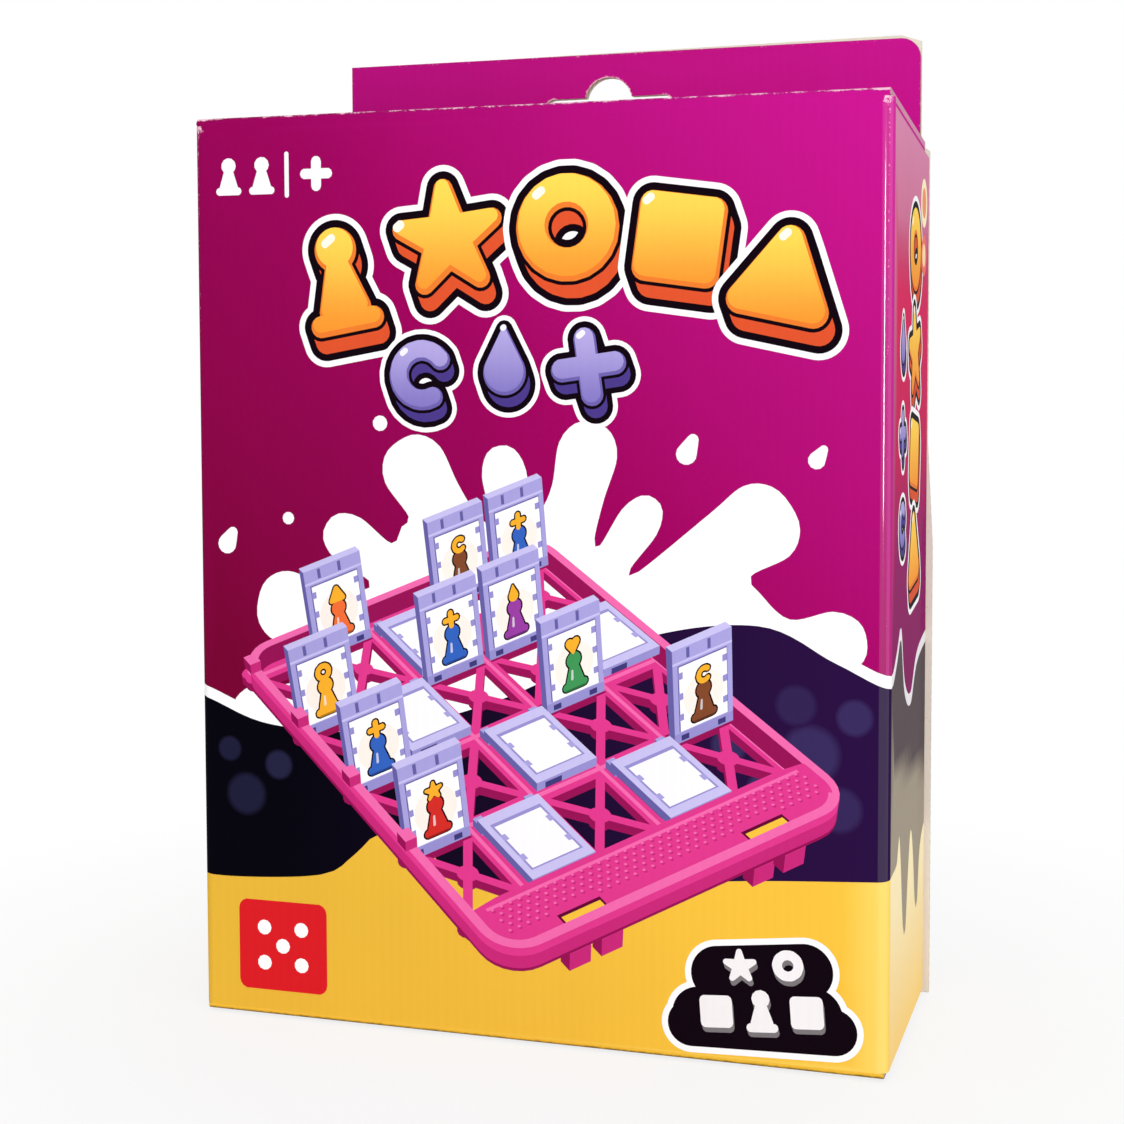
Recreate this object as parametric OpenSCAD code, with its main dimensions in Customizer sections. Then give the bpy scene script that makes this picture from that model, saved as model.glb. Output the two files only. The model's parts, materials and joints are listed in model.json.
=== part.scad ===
// Travel face guessing flip game in its hanging carton.
// Millimetres, +Z up, the carton's front faces -Y, the origin is under the middle of the base.

/* [Flip tray] */
// Gap between a flip frame and the lugs beside it
lug_gap = 0.5; // [0.3:0.05:0.6]
// Gap between neighbouring rows of flip frames
row_gap = 3; // [3:0.5:7]
// Border beside the outer columns, up to the tray's outside
side_margin = 6; // [5.4:0.1:9]
// Length of the player's end of the tray, before the first row
strip_zone = 24; // [23:0.5:32]
// Length of the far end of the tray, after the last row
far_margin = 7; // [5:0.5:12]
// Height of the tray's rim
rim_h = 9.5; // [8.5:0.1:11]
// Thickness of the tray's rim
rim_t = 2.2; // [1.6:0.1:3]
// Thickness of the tray's floor and of the strip's top
tray_floor = 1.8; // [1.2:0.1:2]
// Outer corner radius of the tray
tray_r = 12; // [8:0.5:14]
// Length of the dotted strip at the player's end
strip_len = 20; // [16:0.5:21]
// Width of the diagonal struts in each cell's floor
strut_w = 2.2; // [1.6:0.1:3]
// Width of the ribs round each cell's floor
rib_w = 2.4; // [1.8:0.1:3.2]
// Height of the frames' hinge line above the tray's outer face
hinge_h = 4.6; // [4.4:0.1:5]
// Thickness of the lugs that hold the hinge pins
lug_t = 1.5; // [1:0.1:1.6]
// Half length of a lug along the tray
lug_half = 2.4; // [2.2:0.1:2.6]
// Wall of a lug above and beside its bore
lug_top = 1.8; // [1.5:0.1:2]
// Mouth of the slot that the pins snap through
snap_w = 1.2; // [1:0.1:1.3]
// Radius of the bores for the hinge pins
bore_r = 0.88; // [0.84:0.01:0.9]
// Height of the tabs that lock the two trays together
tab_h = 1.8; // [1.2:0.1:3]
// Width of those tabs
tab_w = 10; // [6:0.5:16]
// Distance of the tabs and windows from the tray's middle line
tab_x = 38; // [30:0.5:45]
// Length of the windows in the strip
window_w = 12; // [8:0.5:16]
// Width of the windows in the strip
window_l = 5; // [3:0.5:7]

/* [Flip frame] */
// Width of a flip frame
frame_w = 24.3; // [23:0.1:24.4]
// Length of a flip frame from its hinge line to its free end
frame_l = 31; // [28:0.1:31]
// Thickness of a flip frame
frame_t = 2.4; // [2:0.1:2.6]
// Radius of the hinge pins
pin_r = 0.8; // [0.7:0.01:0.82]
// Length of the hinge pins
pin_l = 1; // [0.8:0.05:1.05]
// Depth of the pocket that the card lies in
pocket_d = 1; // [0.8:0.05:1.2]
// Border of the frame round the card
frame_border = 2.7; // [2.4:0.1:3.2]
// Width of the ledge that the card lies on
ledge_w = 1.1; // [0.8:0.1:1.6]
// Distance from the hinge line to the card's pocket
card_start = 3.4; // [3:0.1:4]
// Width of the clips that hold the card
clip_w = 3; // [2:0.1:4]
// Reach of the clips over the card
clip_reach = 1.2; // [0.8:0.1:1.6]
// Height of the grip at the free end
grip_h = 1.2; // [0.8:0.1:1.6]
// Width of the grip at the free end
grip_w = 12; // [8:0.5:16]
// Thickness of a card
card_t = 0.4; // [0.3:0.05:0.5]

/* [Carton] */
// Thickness of the fluted board
board_t = 1.4; // [1.2:0.1:1.6]
// Outer radius of the upright front creases
crease_r = 2.2; // [2:0.1:4]
// Room between a tray and each side panel
side_room = 2.6; // [2.5:0.1:6]
// Distance between the rims of the two trays
trays_apart = 36.6; // [34:0.2:44]
// Height from the top of the trays to the front top crease
head_room = 28.1; // [27:0.1:34]
// How far the closed lid falls towards the back
top_fall = 5; // [3:0.5:6]
// Length of the tuck on the lid
tuck_len = 15; // [12:0.5:15.5]
// Lean of the tuck from square to the lid
tuck_lean = 12; // [11:0.5:16]
// Corner radius of the tuck
tuck_r = 8; // [2:0.5:10]
// Reach of the dust flaps in from the sides
dust_len = 36; // [30:1:44]
// Distance that the dust flaps stop short of the tuck
dust_relief = 6; // [6:0.5:9]
// Inset of the lid's side edges from the carton's sides
lid_inset = 0.8; // [0.4:0.1:2]
// Width of the glued seam flap
seam_w = 13; // [10:0.5:20]
// Distance from the seam flap's top to the crease at the header's root
seam_drop = 4.2; // [4:0.1:20]
// Reach of the bottom dust flaps in from the sides
bottom_dust_len = 44; // [30:1:60]

/* [Rear card and header] */
// Thickness of the rear card
rear_t = 1; // [0.8:0.1:1.6]
// Overhang of the rear card past each side
rear_overhang = 1.3; // [0.8:0.1:2.5]
// Height up to which the rear card keeps its overhang
rear_taper_z = 104; // [80:1:120]
// Height from which the rear card is flush with the sides
rear_flush_z = 128; // [124:1:160]
// Height of the header above the front top crease
header_h = 18.9; // [17.5:0.1:30]
// Rise of the rear card above the header's right end
rear_rise = 0.9; // [0.4:0.1:2]
// Inset of the header's left edge from the carton's left side
header_left = 13; // [4:0.5:20]
// Inset of the header's right edge from the carton's right side
header_right = 2; // [1:0.5:6]
// Corner radius of the header's right end
header_r = 4.5; // [2:0.5:6]
// Drop of the rear card's clipped corner behind it
clip_drop = 1.5; // [0.5:0.1:3]
// Place of the hanging slot along the width
slot_x = 1.8; // [-5:0.1:5]
// Overall length of the hanging slot
slot_w = 32; // [28:0.5:36]
// Height of the hanging slot's straight part
slot_h = 5.4; // [4:0.1:6]
// Radius of the bump over the hanging slot
bump_r = 5.75; // [4.5:0.05:6.5]
// Distance from the header's top to the slot's upper edge
slot_drop = 10.1; // [8:0.1:12]

/* [Packing] */
// Thickness of the packing board inside
packing_t = 1; // [0.8:0.1:1.4]
// Length of a card in the loose deck
deck_l = 25.3; // [20:0.1:27]
// Width of a card in the loose deck
deck_w = 18.5; // [16:0.1:20]
// Width of the folded rules leaflet
leaflet_w = 62; // [50:1:66]
// Depth of the folded rules leaflet
leaflet_d = 34; // [28:0.5:35]
// Distance of the card deck from the shelf's left end
deck_inset = 14; // [2:0.5:20]
// Distance between the card deck and the leaflet
items_apart = 10; // [2:0.5:14]

/* [Hidden] */
cols = 5;
rows = 4;
deck_cards = 20;
leaflet_layers = 4;
letters = ["a", "b"];

// Clearances between pieces that move past or rest on each other, and small fixed details
fold_gap = 0.3;
slide_gap = 0.3;
seat_gap = 0.3;
hinge_tail = 2.5;
stop_t = 1;
leaf_t = 0.25;
card_gap = 0.15;
card_play = 0.02;
clip_places = [0.25, 0.75];
lug_land = 0.6;
ear_w = 1.9;
ear_step = 1.5;
slim = 0.01;
long = 400;

// The tray's grid follows the flip frames
col_pitch = frame_w + lug_t + 2 * lug_gap;
row_pitch = frame_l + row_gap;
tray_w = cols * col_pitch + 2 * side_margin;
tray_l = strip_zone + rows * row_pitch + far_margin;
cell_half_u = (col_pitch - rib_w) / 2;
tab_rise = rim_h / 2;

// The carton's inside follows the trays, and its outside follows the inside
floor_z = 2 * board_t;
inner_w = tray_w + 2 * side_room;
inner_d = 2 * rim_h + trays_apart + 2 * slide_gap;
carton_w = inner_w + 2 * board_t;
carton_d = inner_d + 2 * board_t + rear_t;
tray_a_z = floor_z + seat_gap + tab_h;
stack_z = tray_a_z + tray_l;
front_h = stack_z + head_room;
front_y = -carton_d / 2;
rear_y = carton_d / 2;
inner_front_y = front_y + board_t;
back_y = rear_y - rear_t - board_t;
tray_a_y = back_y - slide_gap;
tray_b_y = inner_front_y + slide_gap;
tray_b_z = floor_z + seat_gap + tray_l;

// The closure lies in a frame of its own, which turns about the front top crease
fall_angle = atan(top_fall / carton_d);
lid_len = back_y - front_y - fold_gap;
dust_z = -board_t - fold_gap;
side_top = dust_z - board_t - fold_gap;
rear_crease_z = front_h - top_fall;

// The header
header_top = front_h + header_h;
header_x0 = header_left - carton_w / 2;
header_x1 = carton_w / 2 - header_right;
slot_top = header_top - slot_drop;
bump_drop = 1.15;

// The packing
shelf_z = stack_z + seat_gap;
leg_x = tray_w / 2 - rim_t / 2;
deck_z = shelf_z + packing_t;
deck_x = deck_inset + deck_l / 2 - tray_w / 2;
leaflet_x0 = deck_x + deck_l / 2 + items_apart;
items_y = -9;

function two_digits(i) = i < 10 ? str("0", i) : str(i);
function frame_name(letter, row, col) = str("flip_", letter, two_digits(row * cols + col + 1));
function column_u(col) = (col - (cols - 1) / 2) * col_pitch;
function row_v(row) = strip_zone + (row + 1) * row_pitch - hinge_tail;

// Turns its children, drawn with y back from the crease and z up from the lid's top, into place
module closure_frame() {
    translate([0, front_y, front_h]) rotate([-fall_angle, 0, 0]) children();
}

// Turns a flat outline drawn in x and z into a sheet from y0 towards the back
module upright_sheet(y0, thickness) {
    translate([0, y0 + thickness, 0]) rotate([90, 0, 0]) linear_extrude(thickness) children();
}

// A quarter of a disc, from the right round to the top
module quarter_disc(radius) {
    intersection() {
        circle(radius, $fn = 48);
        square(radius + slim);
    }
}

// A rectangle with round corners, centred in x, from y = 0 up
module round_rect(w, l, r) {
    translate([-w / 2 + r, 0]) square([w - 2 * r, l]);
    translate([-w / 2, r]) square([w, l - 2 * r]);
    for (x = [-w / 2 + r, w / 2 - r], y = [r, l - r])
        translate([x, y]) circle(r, $fn = 64);
}

module front_panel() {
    half = carton_w / 2 - crease_r;
    color("mediumvioletred")
        difference() {
            translate([-half, front_y, board_t]) cube([2 * half, board_t, front_h - board_t]);
            closure_frame()
                translate([-long / 2, -long / 2, dust_z]) cube([long, long, long]);
        }
}

// One side panel with its two upright creases, seen from above on the right side
module side_outline() {
    half = carton_w / 2;
    translate([half - board_t, front_y + crease_r])
        square([board_t, back_y - front_y - crease_r]);
    translate([half - crease_r, front_y + crease_r])
        mirror([0, 1])
            difference() {
                quarter_disc(crease_r);
                quarter_disc(crease_r - board_t);
            }
    translate([half - board_t, back_y]) quarter_disc(board_t);
}

// The panel's top follows the dust flap, and its front crease rises to the lid
module side_panel() {
    difference() {
        translate([0, 0, board_t]) linear_extrude(front_h - board_t) side_outline();
        closure_frame() {
            translate([-long / 2, crease_r, side_top]) cube([long, long, long]);
            translate([-long / 2, -long / 2, dust_z]) cube([long, long, long]);
        }
    }
}

module left_side_panel() {
    color("mediumvioletred") mirror([1, 0, 0]) side_panel();
}

module right_side_panel() {
    color("mediumvioletred") side_panel();
}

// The long slot with its round bump, for a shop's peg
module slot_outline() {
    end_r = slot_h / 2;
    translate([slot_x, slot_top - end_r]) {
        square([slot_w - slot_h, slot_h], center = true);
        for (x = [-1, 1]) translate([x * (slot_w / 2 - end_r), 0]) circle(end_r, $fn = 48);
    }
    translate([slot_x, slot_top - bump_drop]) circle(bump_r, $fn = 64);
}

// The back panel carries on above its crease as the header's front ply
module back_outline() {
    half = carton_w / 2 - board_t;
    difference() {
        union() {
            translate([-half, board_t]) square([2 * half, rear_crease_z - board_t]);
            translate([header_x0, board_t])
                square([header_x1 - header_r - header_x0, header_top - board_t]);
            translate([header_x0, board_t])
                square([header_x1 - header_x0, header_top - header_r - board_t]);
            translate([header_x1 - header_r, header_top - header_r]) quarter_disc(header_r);
        }
        slot_outline();
    }
}

module back_panel() {
    color("mediumvioletred") upright_sheet(back_y, board_t) back_outline();
}

// The rear card is a little wider than the carton, and its header end is only clipped
module rear_outline() {
    half = carton_w / 2;
    wide = half + rear_overhang;
    difference() {
        polygon([
            [-wide, 0], [wide, 0], [wide, rear_taper_z], [half, rear_flush_z],
            [half, rear_crease_z - board_t], [header_x1, rear_crease_z],
            [header_x1, header_top + rear_rise - clip_drop],
            [header_x1 - header_r, header_top + rear_rise], [header_x0, header_top],
            [header_x0, rear_crease_z], [-half, rear_crease_z - board_t], [-half, rear_flush_z],
            [-wide, rear_taper_z]
        ]);
        slot_outline();
    }
}

module rear_card() {
    color("lightgray") upright_sheet(back_y + board_t, rear_t) rear_outline();
}

// Glued inside the right side panel, at the back
module seam_flap() {
    color("tan")
        translate([inner_w / 2 - board_t, back_y - seam_w, floor_z])
            cube([board_t, seam_w, rear_crease_z - floor_z - seam_drop]);
}

// The outer bottom flap, with the front bottom crease
module bottom_flap() {
    half = carton_w / 2 - lid_inset;
    color("goldenrod")
        translate([-half, 0, 0]) rotate([90, 0, 90]) linear_extrude(2 * half) {
            translate([front_y + board_t, 0]) square([back_y - front_y, board_t]);
            translate([front_y + board_t, board_t]) rotate(180) quarter_disc(board_t);
        }
}

module bottom_dust_flaps() {
    color("tan")
        for (side = [0, 1])
            mirror([side, 0, 0])
                translate([inner_w / 2 - bottom_dust_len, inner_front_y, board_t])
                    cube([bottom_dust_len, back_y - inner_front_y, board_t]);
}

// The lid turns about the front top crease, which its rounded root covers
module lid() {
    half = carton_w / 2 - lid_inset;
    color("mediumvioletred")
        intersection() {
            closure_frame()
                translate([-half, 0, 0]) rotate([90, 0, 90]) linear_extrude(2 * half) {
                    translate([board_t, -board_t]) square([lid_len - board_t, board_t]);
                    translate([board_t, -board_t]) mirror([1, 0]) quarter_disc(board_t);
                }
            translate([-half, front_y, 0]) cube([2 * half, carton_d, long]);
        }
}

// The tuck hangs from the lid's rear edge and turns about the crease inside it
module lid_tuck() {
    half = inner_w / 2 - board_t - 2 * slide_gap;
    color("mediumvioletred")
        closure_frame()
            translate([0, lid_len - board_t, dust_z]) rotate([-tuck_lean, 0, 0])
                rotate([-90, 0, 0]) linear_extrude(board_t) {
                    translate([-half, 0]) square([2 * half, tuck_len - tuck_r]);
                    translate([-half + tuck_r, 0]) square([2 * (half - tuck_r), tuck_len]);
                    for (side = [0, 1])
                        mirror([side, 0])
                            translate([half - tuck_r, tuck_len - tuck_r]) quarter_disc(tuck_r);
                }
}

// Right dust flap: its slanting front edge lets the lid lift off it first
module dust_flap() {
    half = carton_w / 2;
    front_cut = board_t + fold_gap;
    rear = lid_len - board_t - dust_relief;
    color("tan")
        closure_frame()
            intersection() {
                translate([half, 0, dust_z]) rotate([0, 180, 0]) linear_extrude(board_t)
                    polygon([
                        [0, crease_r + fold_gap], [crease_r + fold_gap - front_cut, crease_r + fold_gap],
                        [dust_len, dust_len + front_cut], [dust_len, rear - board_t],
                        [dust_len - board_t, rear], [0, rear]
                    ]);
                translate([half - board_t, long / 2, dust_z - board_t])
                    rotate([90, 0, 0]) linear_extrude(long) {
                        translate([-long, 0]) square([long, board_t]);
                        quarter_disc(board_t);
                    }
            }
}

module left_dust_flap() {
    mirror([1, 0, 0]) dust_flap();
}

module right_dust_flap() {
    dust_flap();
}

// Tray shapes are drawn with x across, y from the player's end, and z out of the floor

// The four triangular openings left by a cell's crossed struts
module cell_openings(half_u, half_v) {
    diagonal = sqrt(half_u * half_u + half_v * half_v);
    cut_u = strut_w / 2 * diagonal / half_v;
    cut_v = strut_w / 2 * diagonal / half_u;
    for (side = [-1, 1]) {
        polygon([[0, side * cut_v], [cut_u - half_u, side * half_v], [half_u - cut_u, side * half_v]]);
        polygon([[side * cut_u, 0], [side * half_u, cut_v - half_v], [side * half_u, half_v - cut_v]]);
    }
}

// The lattice floor, open under the strip
module tray_floor_plate() {
    linear_extrude(tray_floor)
        difference() {
            intersection() {
                round_rect(tray_w, tray_l, tray_r);
                translate([-tray_w / 2, strip_len]) square([tray_w, tray_l]);
            }
            for (row = [0:rows - 1], col = [0:cols - 1]) {
                v0 = row_v(row) - row_pitch + hinge_tail + rib_w / 2;
                v1 = row_v(row) - lug_half - lug_land;
                translate([column_u(col), (v0 + v1) / 2])
                    cell_openings(cell_half_u, (v1 - v0) / 2);
            }
        }
}

module tray_rim() {
    linear_extrude(rim_h)
        difference() {
            round_rect(tray_w, tray_l, tray_r);
            translate([0, rim_t]) round_rect(tray_w - 2 * rim_t, tray_l - 2 * rim_t, tray_r - rim_t);
        }
}

// The strip's top plate with its two windows, its inner wall, and the two locking tabs
module tray_strip() {
    translate([0, 0, rim_h - tray_floor])
        linear_extrude(tray_floor)
            difference() {
                intersection() {
                    round_rect(tray_w, tray_l, tray_r);
                    translate([-tray_w / 2, 0]) square([tray_w, strip_len]);
                }
                for (side = [-1, 1])
                    translate([side * tab_x, strip_len / 2 - window_l / 2])
                        square([window_w, window_l], center = true);
            }
    translate([-tray_w / 2 + slim, strip_len, 0]) cube([tray_w - 2 * slim, tray_floor, rim_h]);
    for (side = [-1, 1])
        translate([side * tab_x - tab_w / 2, -tab_h, (rim_h - tab_rise) / 2])
            cube([tab_w, tab_h + rim_t / 2, tab_rise]);
}

// A row of lugs with open snap slots, and the rib that stops the raised frames
module hinge_row() {
    for (k = [0:cols])
        translate([column_u(k) - col_pitch / 2 - lug_t / 2, 0, 0])
            rotate([90, 0, 90]) linear_extrude(lug_t)
                difference() {
                    translate([-lug_half, tray_floor - slim])
                        square([2 * lug_half, hinge_h + lug_top - tray_floor + slim]);
                    translate([0, hinge_h]) circle(bore_r, $fn = 32);
                    translate([-snap_w / 2, hinge_h]) square([snap_w, lug_top + slim]);
                }
    stop_w = cols * col_pitch + lug_t;
    translate([-stop_w / 2, frame_t / 2 + fold_gap, tray_floor - slim])
        cube([stop_w, stop_t, hinge_h - tray_floor + frame_t / 2]);
}

module tray() {
    color("mediumvioletred") {
        tray_floor_plate();
        tray_rim();
        tray_strip();
        for (row = [0:rows - 1]) translate([0, row_v(row), 0]) hinge_row();
    }
}

// Flip frame shapes lie flat with the hinge line on the x axis and the free end towards -y

module frame_outline() {
    half = frame_w / 2;
    notch = ear_step - frame_l;
    polygon([
        [-half, 0], [half, 0], [half, -frame_l], [half - ear_w, -frame_l],
        [half - 2 * ear_w, notch], [grip_w / 2 + ear_step / 2, notch],
        [grip_w / 2, -frame_l], [-grip_w / 2, -frame_l],
        [-grip_w / 2 - ear_step / 2, notch], [2 * ear_w - half, notch],
        [ear_w - half, -frame_l], [-half, -frame_l]
    ]);
}

module flip_frame() {
    pocket_w = frame_w - 2 * frame_border;
    pocket_l = frame_l - card_start - frame_border;
    face = -frame_t / 2;
    color("mediumpurple") {
        difference() {
            translate([0, 0, face]) linear_extrude(frame_t) frame_outline();
            translate([-pocket_w / 2 + ledge_w, -card_start - pocket_l + ledge_w, face - slim])
                cube([pocket_w - 2 * ledge_w, pocket_l - 2 * ledge_w, frame_t + 2 * slim]);
            translate([-pocket_w / 2, -card_start - pocket_l, face - slim])
                cube([pocket_w, pocket_l, pocket_d + slim]);
        }
        rotate([0, 90, 0]) cylinder(r = frame_t / 2, h = frame_w, center = true, $fn = 48);
        rotate([0, 90, 0]) cylinder(r = pin_r, h = frame_w + 2 * pin_l, center = true, $fn = 32);
        translate([-grip_w / 2, -frame_l, 0]) cube([grip_w, grip_h, frame_t / 2 + grip_h]);
        for (side = [-1, 1], part = clip_places)
            translate([side > 0 ? pocket_w / 2 - clip_reach : -pocket_w / 2 - slim,
                       -card_start - pocket_l * part - clip_w / 2, face])
                cube([clip_reach + slim, clip_w, pocket_d - card_t - 2 * card_play]);
    }
    color("white")
        translate([card_gap - pocket_w / 2, card_gap - card_start - pocket_l,
                   face + pocket_d - card_t - card_play])
            cube([pocket_w - 2 * card_gap, pocket_l - 2 * card_gap, card_t]);
}

// Tray a stands at the back with its strip down, and tray b at the front the other way up
module in_tray(letter) {
    if (letter == "a") translate([0, tray_a_y, tray_a_z]) rotate([90, 0, 0]) children();
    else translate([0, tray_b_y, tray_b_z]) rotate([-90, 0, 0]) children();
}

module tray_a() {
    in_tray("a") tray();
}

module tray_b() {
    in_tray("b") tray();
}

module packing_shelf() {
    depth = tray_a_y - tray_b_y - 2 * slide_gap;
    color("burlywood")
        translate([-tray_w / 2, tray_b_y + slide_gap, shelf_z]) cube([tray_w, depth, packing_t]);
}

// The shelf's two folded legs stand between the trays' rims
module packing_legs() {
    y0 = tray_b_y + rim_h + slide_gap;
    y1 = tray_a_y - rim_h - slide_gap;
    color("burlywood")
        for (side = [-1, 1])
            translate([side * leg_x - packing_t / 2, y0, floor_z + seat_gap])
                cube([packing_t, y1 - y0, shelf_z - floor_z - seat_gap]);
}

module card_deck() {
    color("white")
        for (i = [0:deck_cards - 1])
            translate([deck_x, items_y, deck_z + (i + 0.5) * card_t])
                cube([deck_l, deck_w, card_t - slim], center = true);
}

// One long sheet folded over and over
module rules_leaflet() {
    step = 2 * leaf_t;
    run = leaflet_d - 2 * step;
    color("ivory")
        translate([leaflet_x0, items_y, deck_z])
            rotate([90, 0, 90]) linear_extrude(leaflet_w) {
                for (i = [0:leaflet_layers - 1])
                    translate([-run / 2, i * step]) square([run, leaf_t]);
                for (i = [0:leaflet_layers - 2])
                    translate([(i % 2 == 0 ? 1 : -1) * run / 2, i * step + step / 2 + leaf_t / 2])
                        intersection() {
                            difference() {
                                circle(step / 2 + leaf_t / 2, $fn = 24);
                                circle(step / 2 - leaf_t / 2, $fn = 24);
                            }
                            translate([i % 2 == 0 ? -slim : -step, -step]) square([step + slim, 2 * step]);
                        }
            }
}

front_panel();
left_side_panel();
right_side_panel();
back_panel();
rear_card();
seam_flap();
bottom_flap();
bottom_dust_flaps();
lid();
lid_tuck();
left_dust_flap();
right_dust_flap();
tray_a();
tray_b();
packing_shelf();
packing_legs();
card_deck();
rules_leaflet();
for (letter = letters, row = [0:rows - 1], col = [0:cols - 1])
    in_tray(letter) translate([column_u(col), row_v(row), hinge_h]) flip_frame();
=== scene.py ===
"""Looks of the travel flip game in its hanging carton: printed board, moulded trays, cards and packing.

Distances are metres and print artwork is laid out in millimetres, seen from the printed side.
"""

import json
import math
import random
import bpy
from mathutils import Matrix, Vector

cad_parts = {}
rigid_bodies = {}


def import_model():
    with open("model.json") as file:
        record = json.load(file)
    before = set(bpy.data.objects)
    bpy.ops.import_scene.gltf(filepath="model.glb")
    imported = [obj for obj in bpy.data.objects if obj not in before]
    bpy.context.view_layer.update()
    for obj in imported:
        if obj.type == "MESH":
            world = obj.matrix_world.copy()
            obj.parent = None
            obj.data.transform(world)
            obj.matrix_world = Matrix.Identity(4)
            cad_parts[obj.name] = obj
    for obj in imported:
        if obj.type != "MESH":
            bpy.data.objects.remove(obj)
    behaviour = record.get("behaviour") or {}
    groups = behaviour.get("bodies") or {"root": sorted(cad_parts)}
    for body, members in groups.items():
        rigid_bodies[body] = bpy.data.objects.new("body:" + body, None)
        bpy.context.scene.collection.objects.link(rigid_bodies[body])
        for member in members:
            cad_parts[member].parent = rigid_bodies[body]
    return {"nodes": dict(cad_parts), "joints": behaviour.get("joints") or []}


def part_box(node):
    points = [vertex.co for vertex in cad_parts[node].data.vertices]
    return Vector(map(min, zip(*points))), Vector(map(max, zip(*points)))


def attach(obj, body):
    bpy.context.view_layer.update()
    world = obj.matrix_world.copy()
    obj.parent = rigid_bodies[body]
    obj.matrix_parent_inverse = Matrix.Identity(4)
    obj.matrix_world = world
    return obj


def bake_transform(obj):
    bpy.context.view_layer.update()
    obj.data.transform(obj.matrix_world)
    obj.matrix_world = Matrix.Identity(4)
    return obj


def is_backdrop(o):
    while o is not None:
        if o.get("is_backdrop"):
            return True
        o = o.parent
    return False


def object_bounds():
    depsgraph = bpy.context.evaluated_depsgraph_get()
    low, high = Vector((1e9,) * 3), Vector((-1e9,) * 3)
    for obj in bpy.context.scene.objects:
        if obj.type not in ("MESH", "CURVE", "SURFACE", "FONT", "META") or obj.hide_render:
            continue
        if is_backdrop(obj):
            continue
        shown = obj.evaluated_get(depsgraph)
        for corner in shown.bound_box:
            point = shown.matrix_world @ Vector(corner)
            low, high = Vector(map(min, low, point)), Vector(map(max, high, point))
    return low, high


bl_info = {
    "name": "Flip Game Carton",
    "version": (1, 0, 0),
    "blender": (4, 5, 0),
    "location": "View3D > Sidebar > Flip Game",
    "description": "Dresses the hanging carton of a face guessing flip game and what is packed in it",
    "category": "Object",
}

import bpy
from bpy.props import FloatProperty, FloatVectorProperty, PointerProperty
from bpy.types import Operator, Panel, PropertyGroup
from mathutils import Matrix, Vector
from mathutils.geometry import delaunay_2d_cdt

for leftover in list(bpy.data.objects):
    bpy.data.objects.remove(leftover)
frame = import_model()
CAD_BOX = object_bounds()

MM = 0.001
# How near two points of a flat print lie to count as one, in millimetres
FINE = 1e-4

JOINTS = {joint["name"]: joint for joint in frame["joints"]}


def span(node):
    """Lowest and highest corner of a node in millimetres."""
    low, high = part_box(node)
    return low / MM, high / MM


# The carton's own sizes in millimetres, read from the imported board
FRONT_LOW, FRONT_HIGH = span("front_panel")
BACK_LOW, BACK_HIGH = span("back_panel")
REAR_HIGH = span("rear_card")[1]
BOARD = FRONT_HIGH.y - FRONT_LOW.y
HALF = span("right_side_panel")[1].x
FLAT_HALF = FRONT_HIGH.x
CREASE_R = HALF - FLAT_HALF
FRONT_Y = FRONT_LOW.y
BACK_Y = BACK_LOW.y
CREASE_Z = JOINTS["carton_lid_hinge"]["pos_m"][2] / MM
DUST_AXIS = JOINTS["carton_dust_right_hinge"]["axis"]
FALL = math.atan2(-DUST_AXIS[2], DUST_AXIS[1])
LID_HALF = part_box("lid")[1].x / MM
TUCK_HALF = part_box("lid_tuck")[1].x / MM

# Details of the board that its boxes don't show, in millimetres, as the part's source has them
FOLD_GAP = 0.3
LID_LENGTH = BACK_Y - FRONT_Y - FOLD_GAP
TOP_FALL = 5
REAR_CREASE_Z = CREASE_Z - TOP_FALL
HEADER_RADIUS = 4.5
HEADER_LEFT, HEADER_RIGHT = 13, 2
REAR_RISE = 0.9
REAR_CLIP = 1.5
REAR_FLARE_Z, REAR_FLUSH_Z = 104, 128
SLOT_X, SLOT_TOP = 1.8, 208.8
SLOT_REACH, SLOT_RADIUS = 13.3, 2.7
BUMP_DROP, BUMP_RADIUS = 1.15, 5.75
DUST_LOW, DUST_HIGH = 2.6, 49.8
# How far the tuck leans from square to the lid
TUCK_LEAN = math.radians(12)

# How far a print reaches past the sheet that it is cut to
PAST = 5


def closure(x, y, z):
    """A point given from the front top crease, y back along the lid and z up from its top."""
    return Vector((x, FRONT_Y + y * math.cos(FALL) + z * math.sin(FALL),
                   CREASE_Z - y * math.sin(FALL) + z * math.cos(FALL)))


def shade(red, green, blue):
    """A print colour, from 0 to 255 on each ink, as Blender's linear colour."""
    def linear(value):
        value = value / 255
        return value / 12.92 if value <= 0.04045 else ((value + 0.055) / 1.055) ** 2.4
    return linear(red), linear(green), linear(blue)


def between(a, b, t):
    """The colour or point that lies a share t of the way from a to b."""
    t = min(1.0, max(0.0, t))
    return tuple(p + (q - p) * t for p, q in zip(a, b))


def ease(t):
    """The share t, held between 0 and 1, with soft ends."""
    t = min(1.0, max(0.0, t))
    return t * t * (3 - 2 * t)


def scaled(colour, level):
    """A colour made darker, or lighter up to white, by level."""
    return tuple(min(1, c * level) for c in colour)


def swatch(name, description, colour):
    """A colour that the sidebar shows."""
    return FloatVectorProperty(
        name=name, description=description, subtype="COLOR", size=3, min=0, max=1, default=colour)


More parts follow.
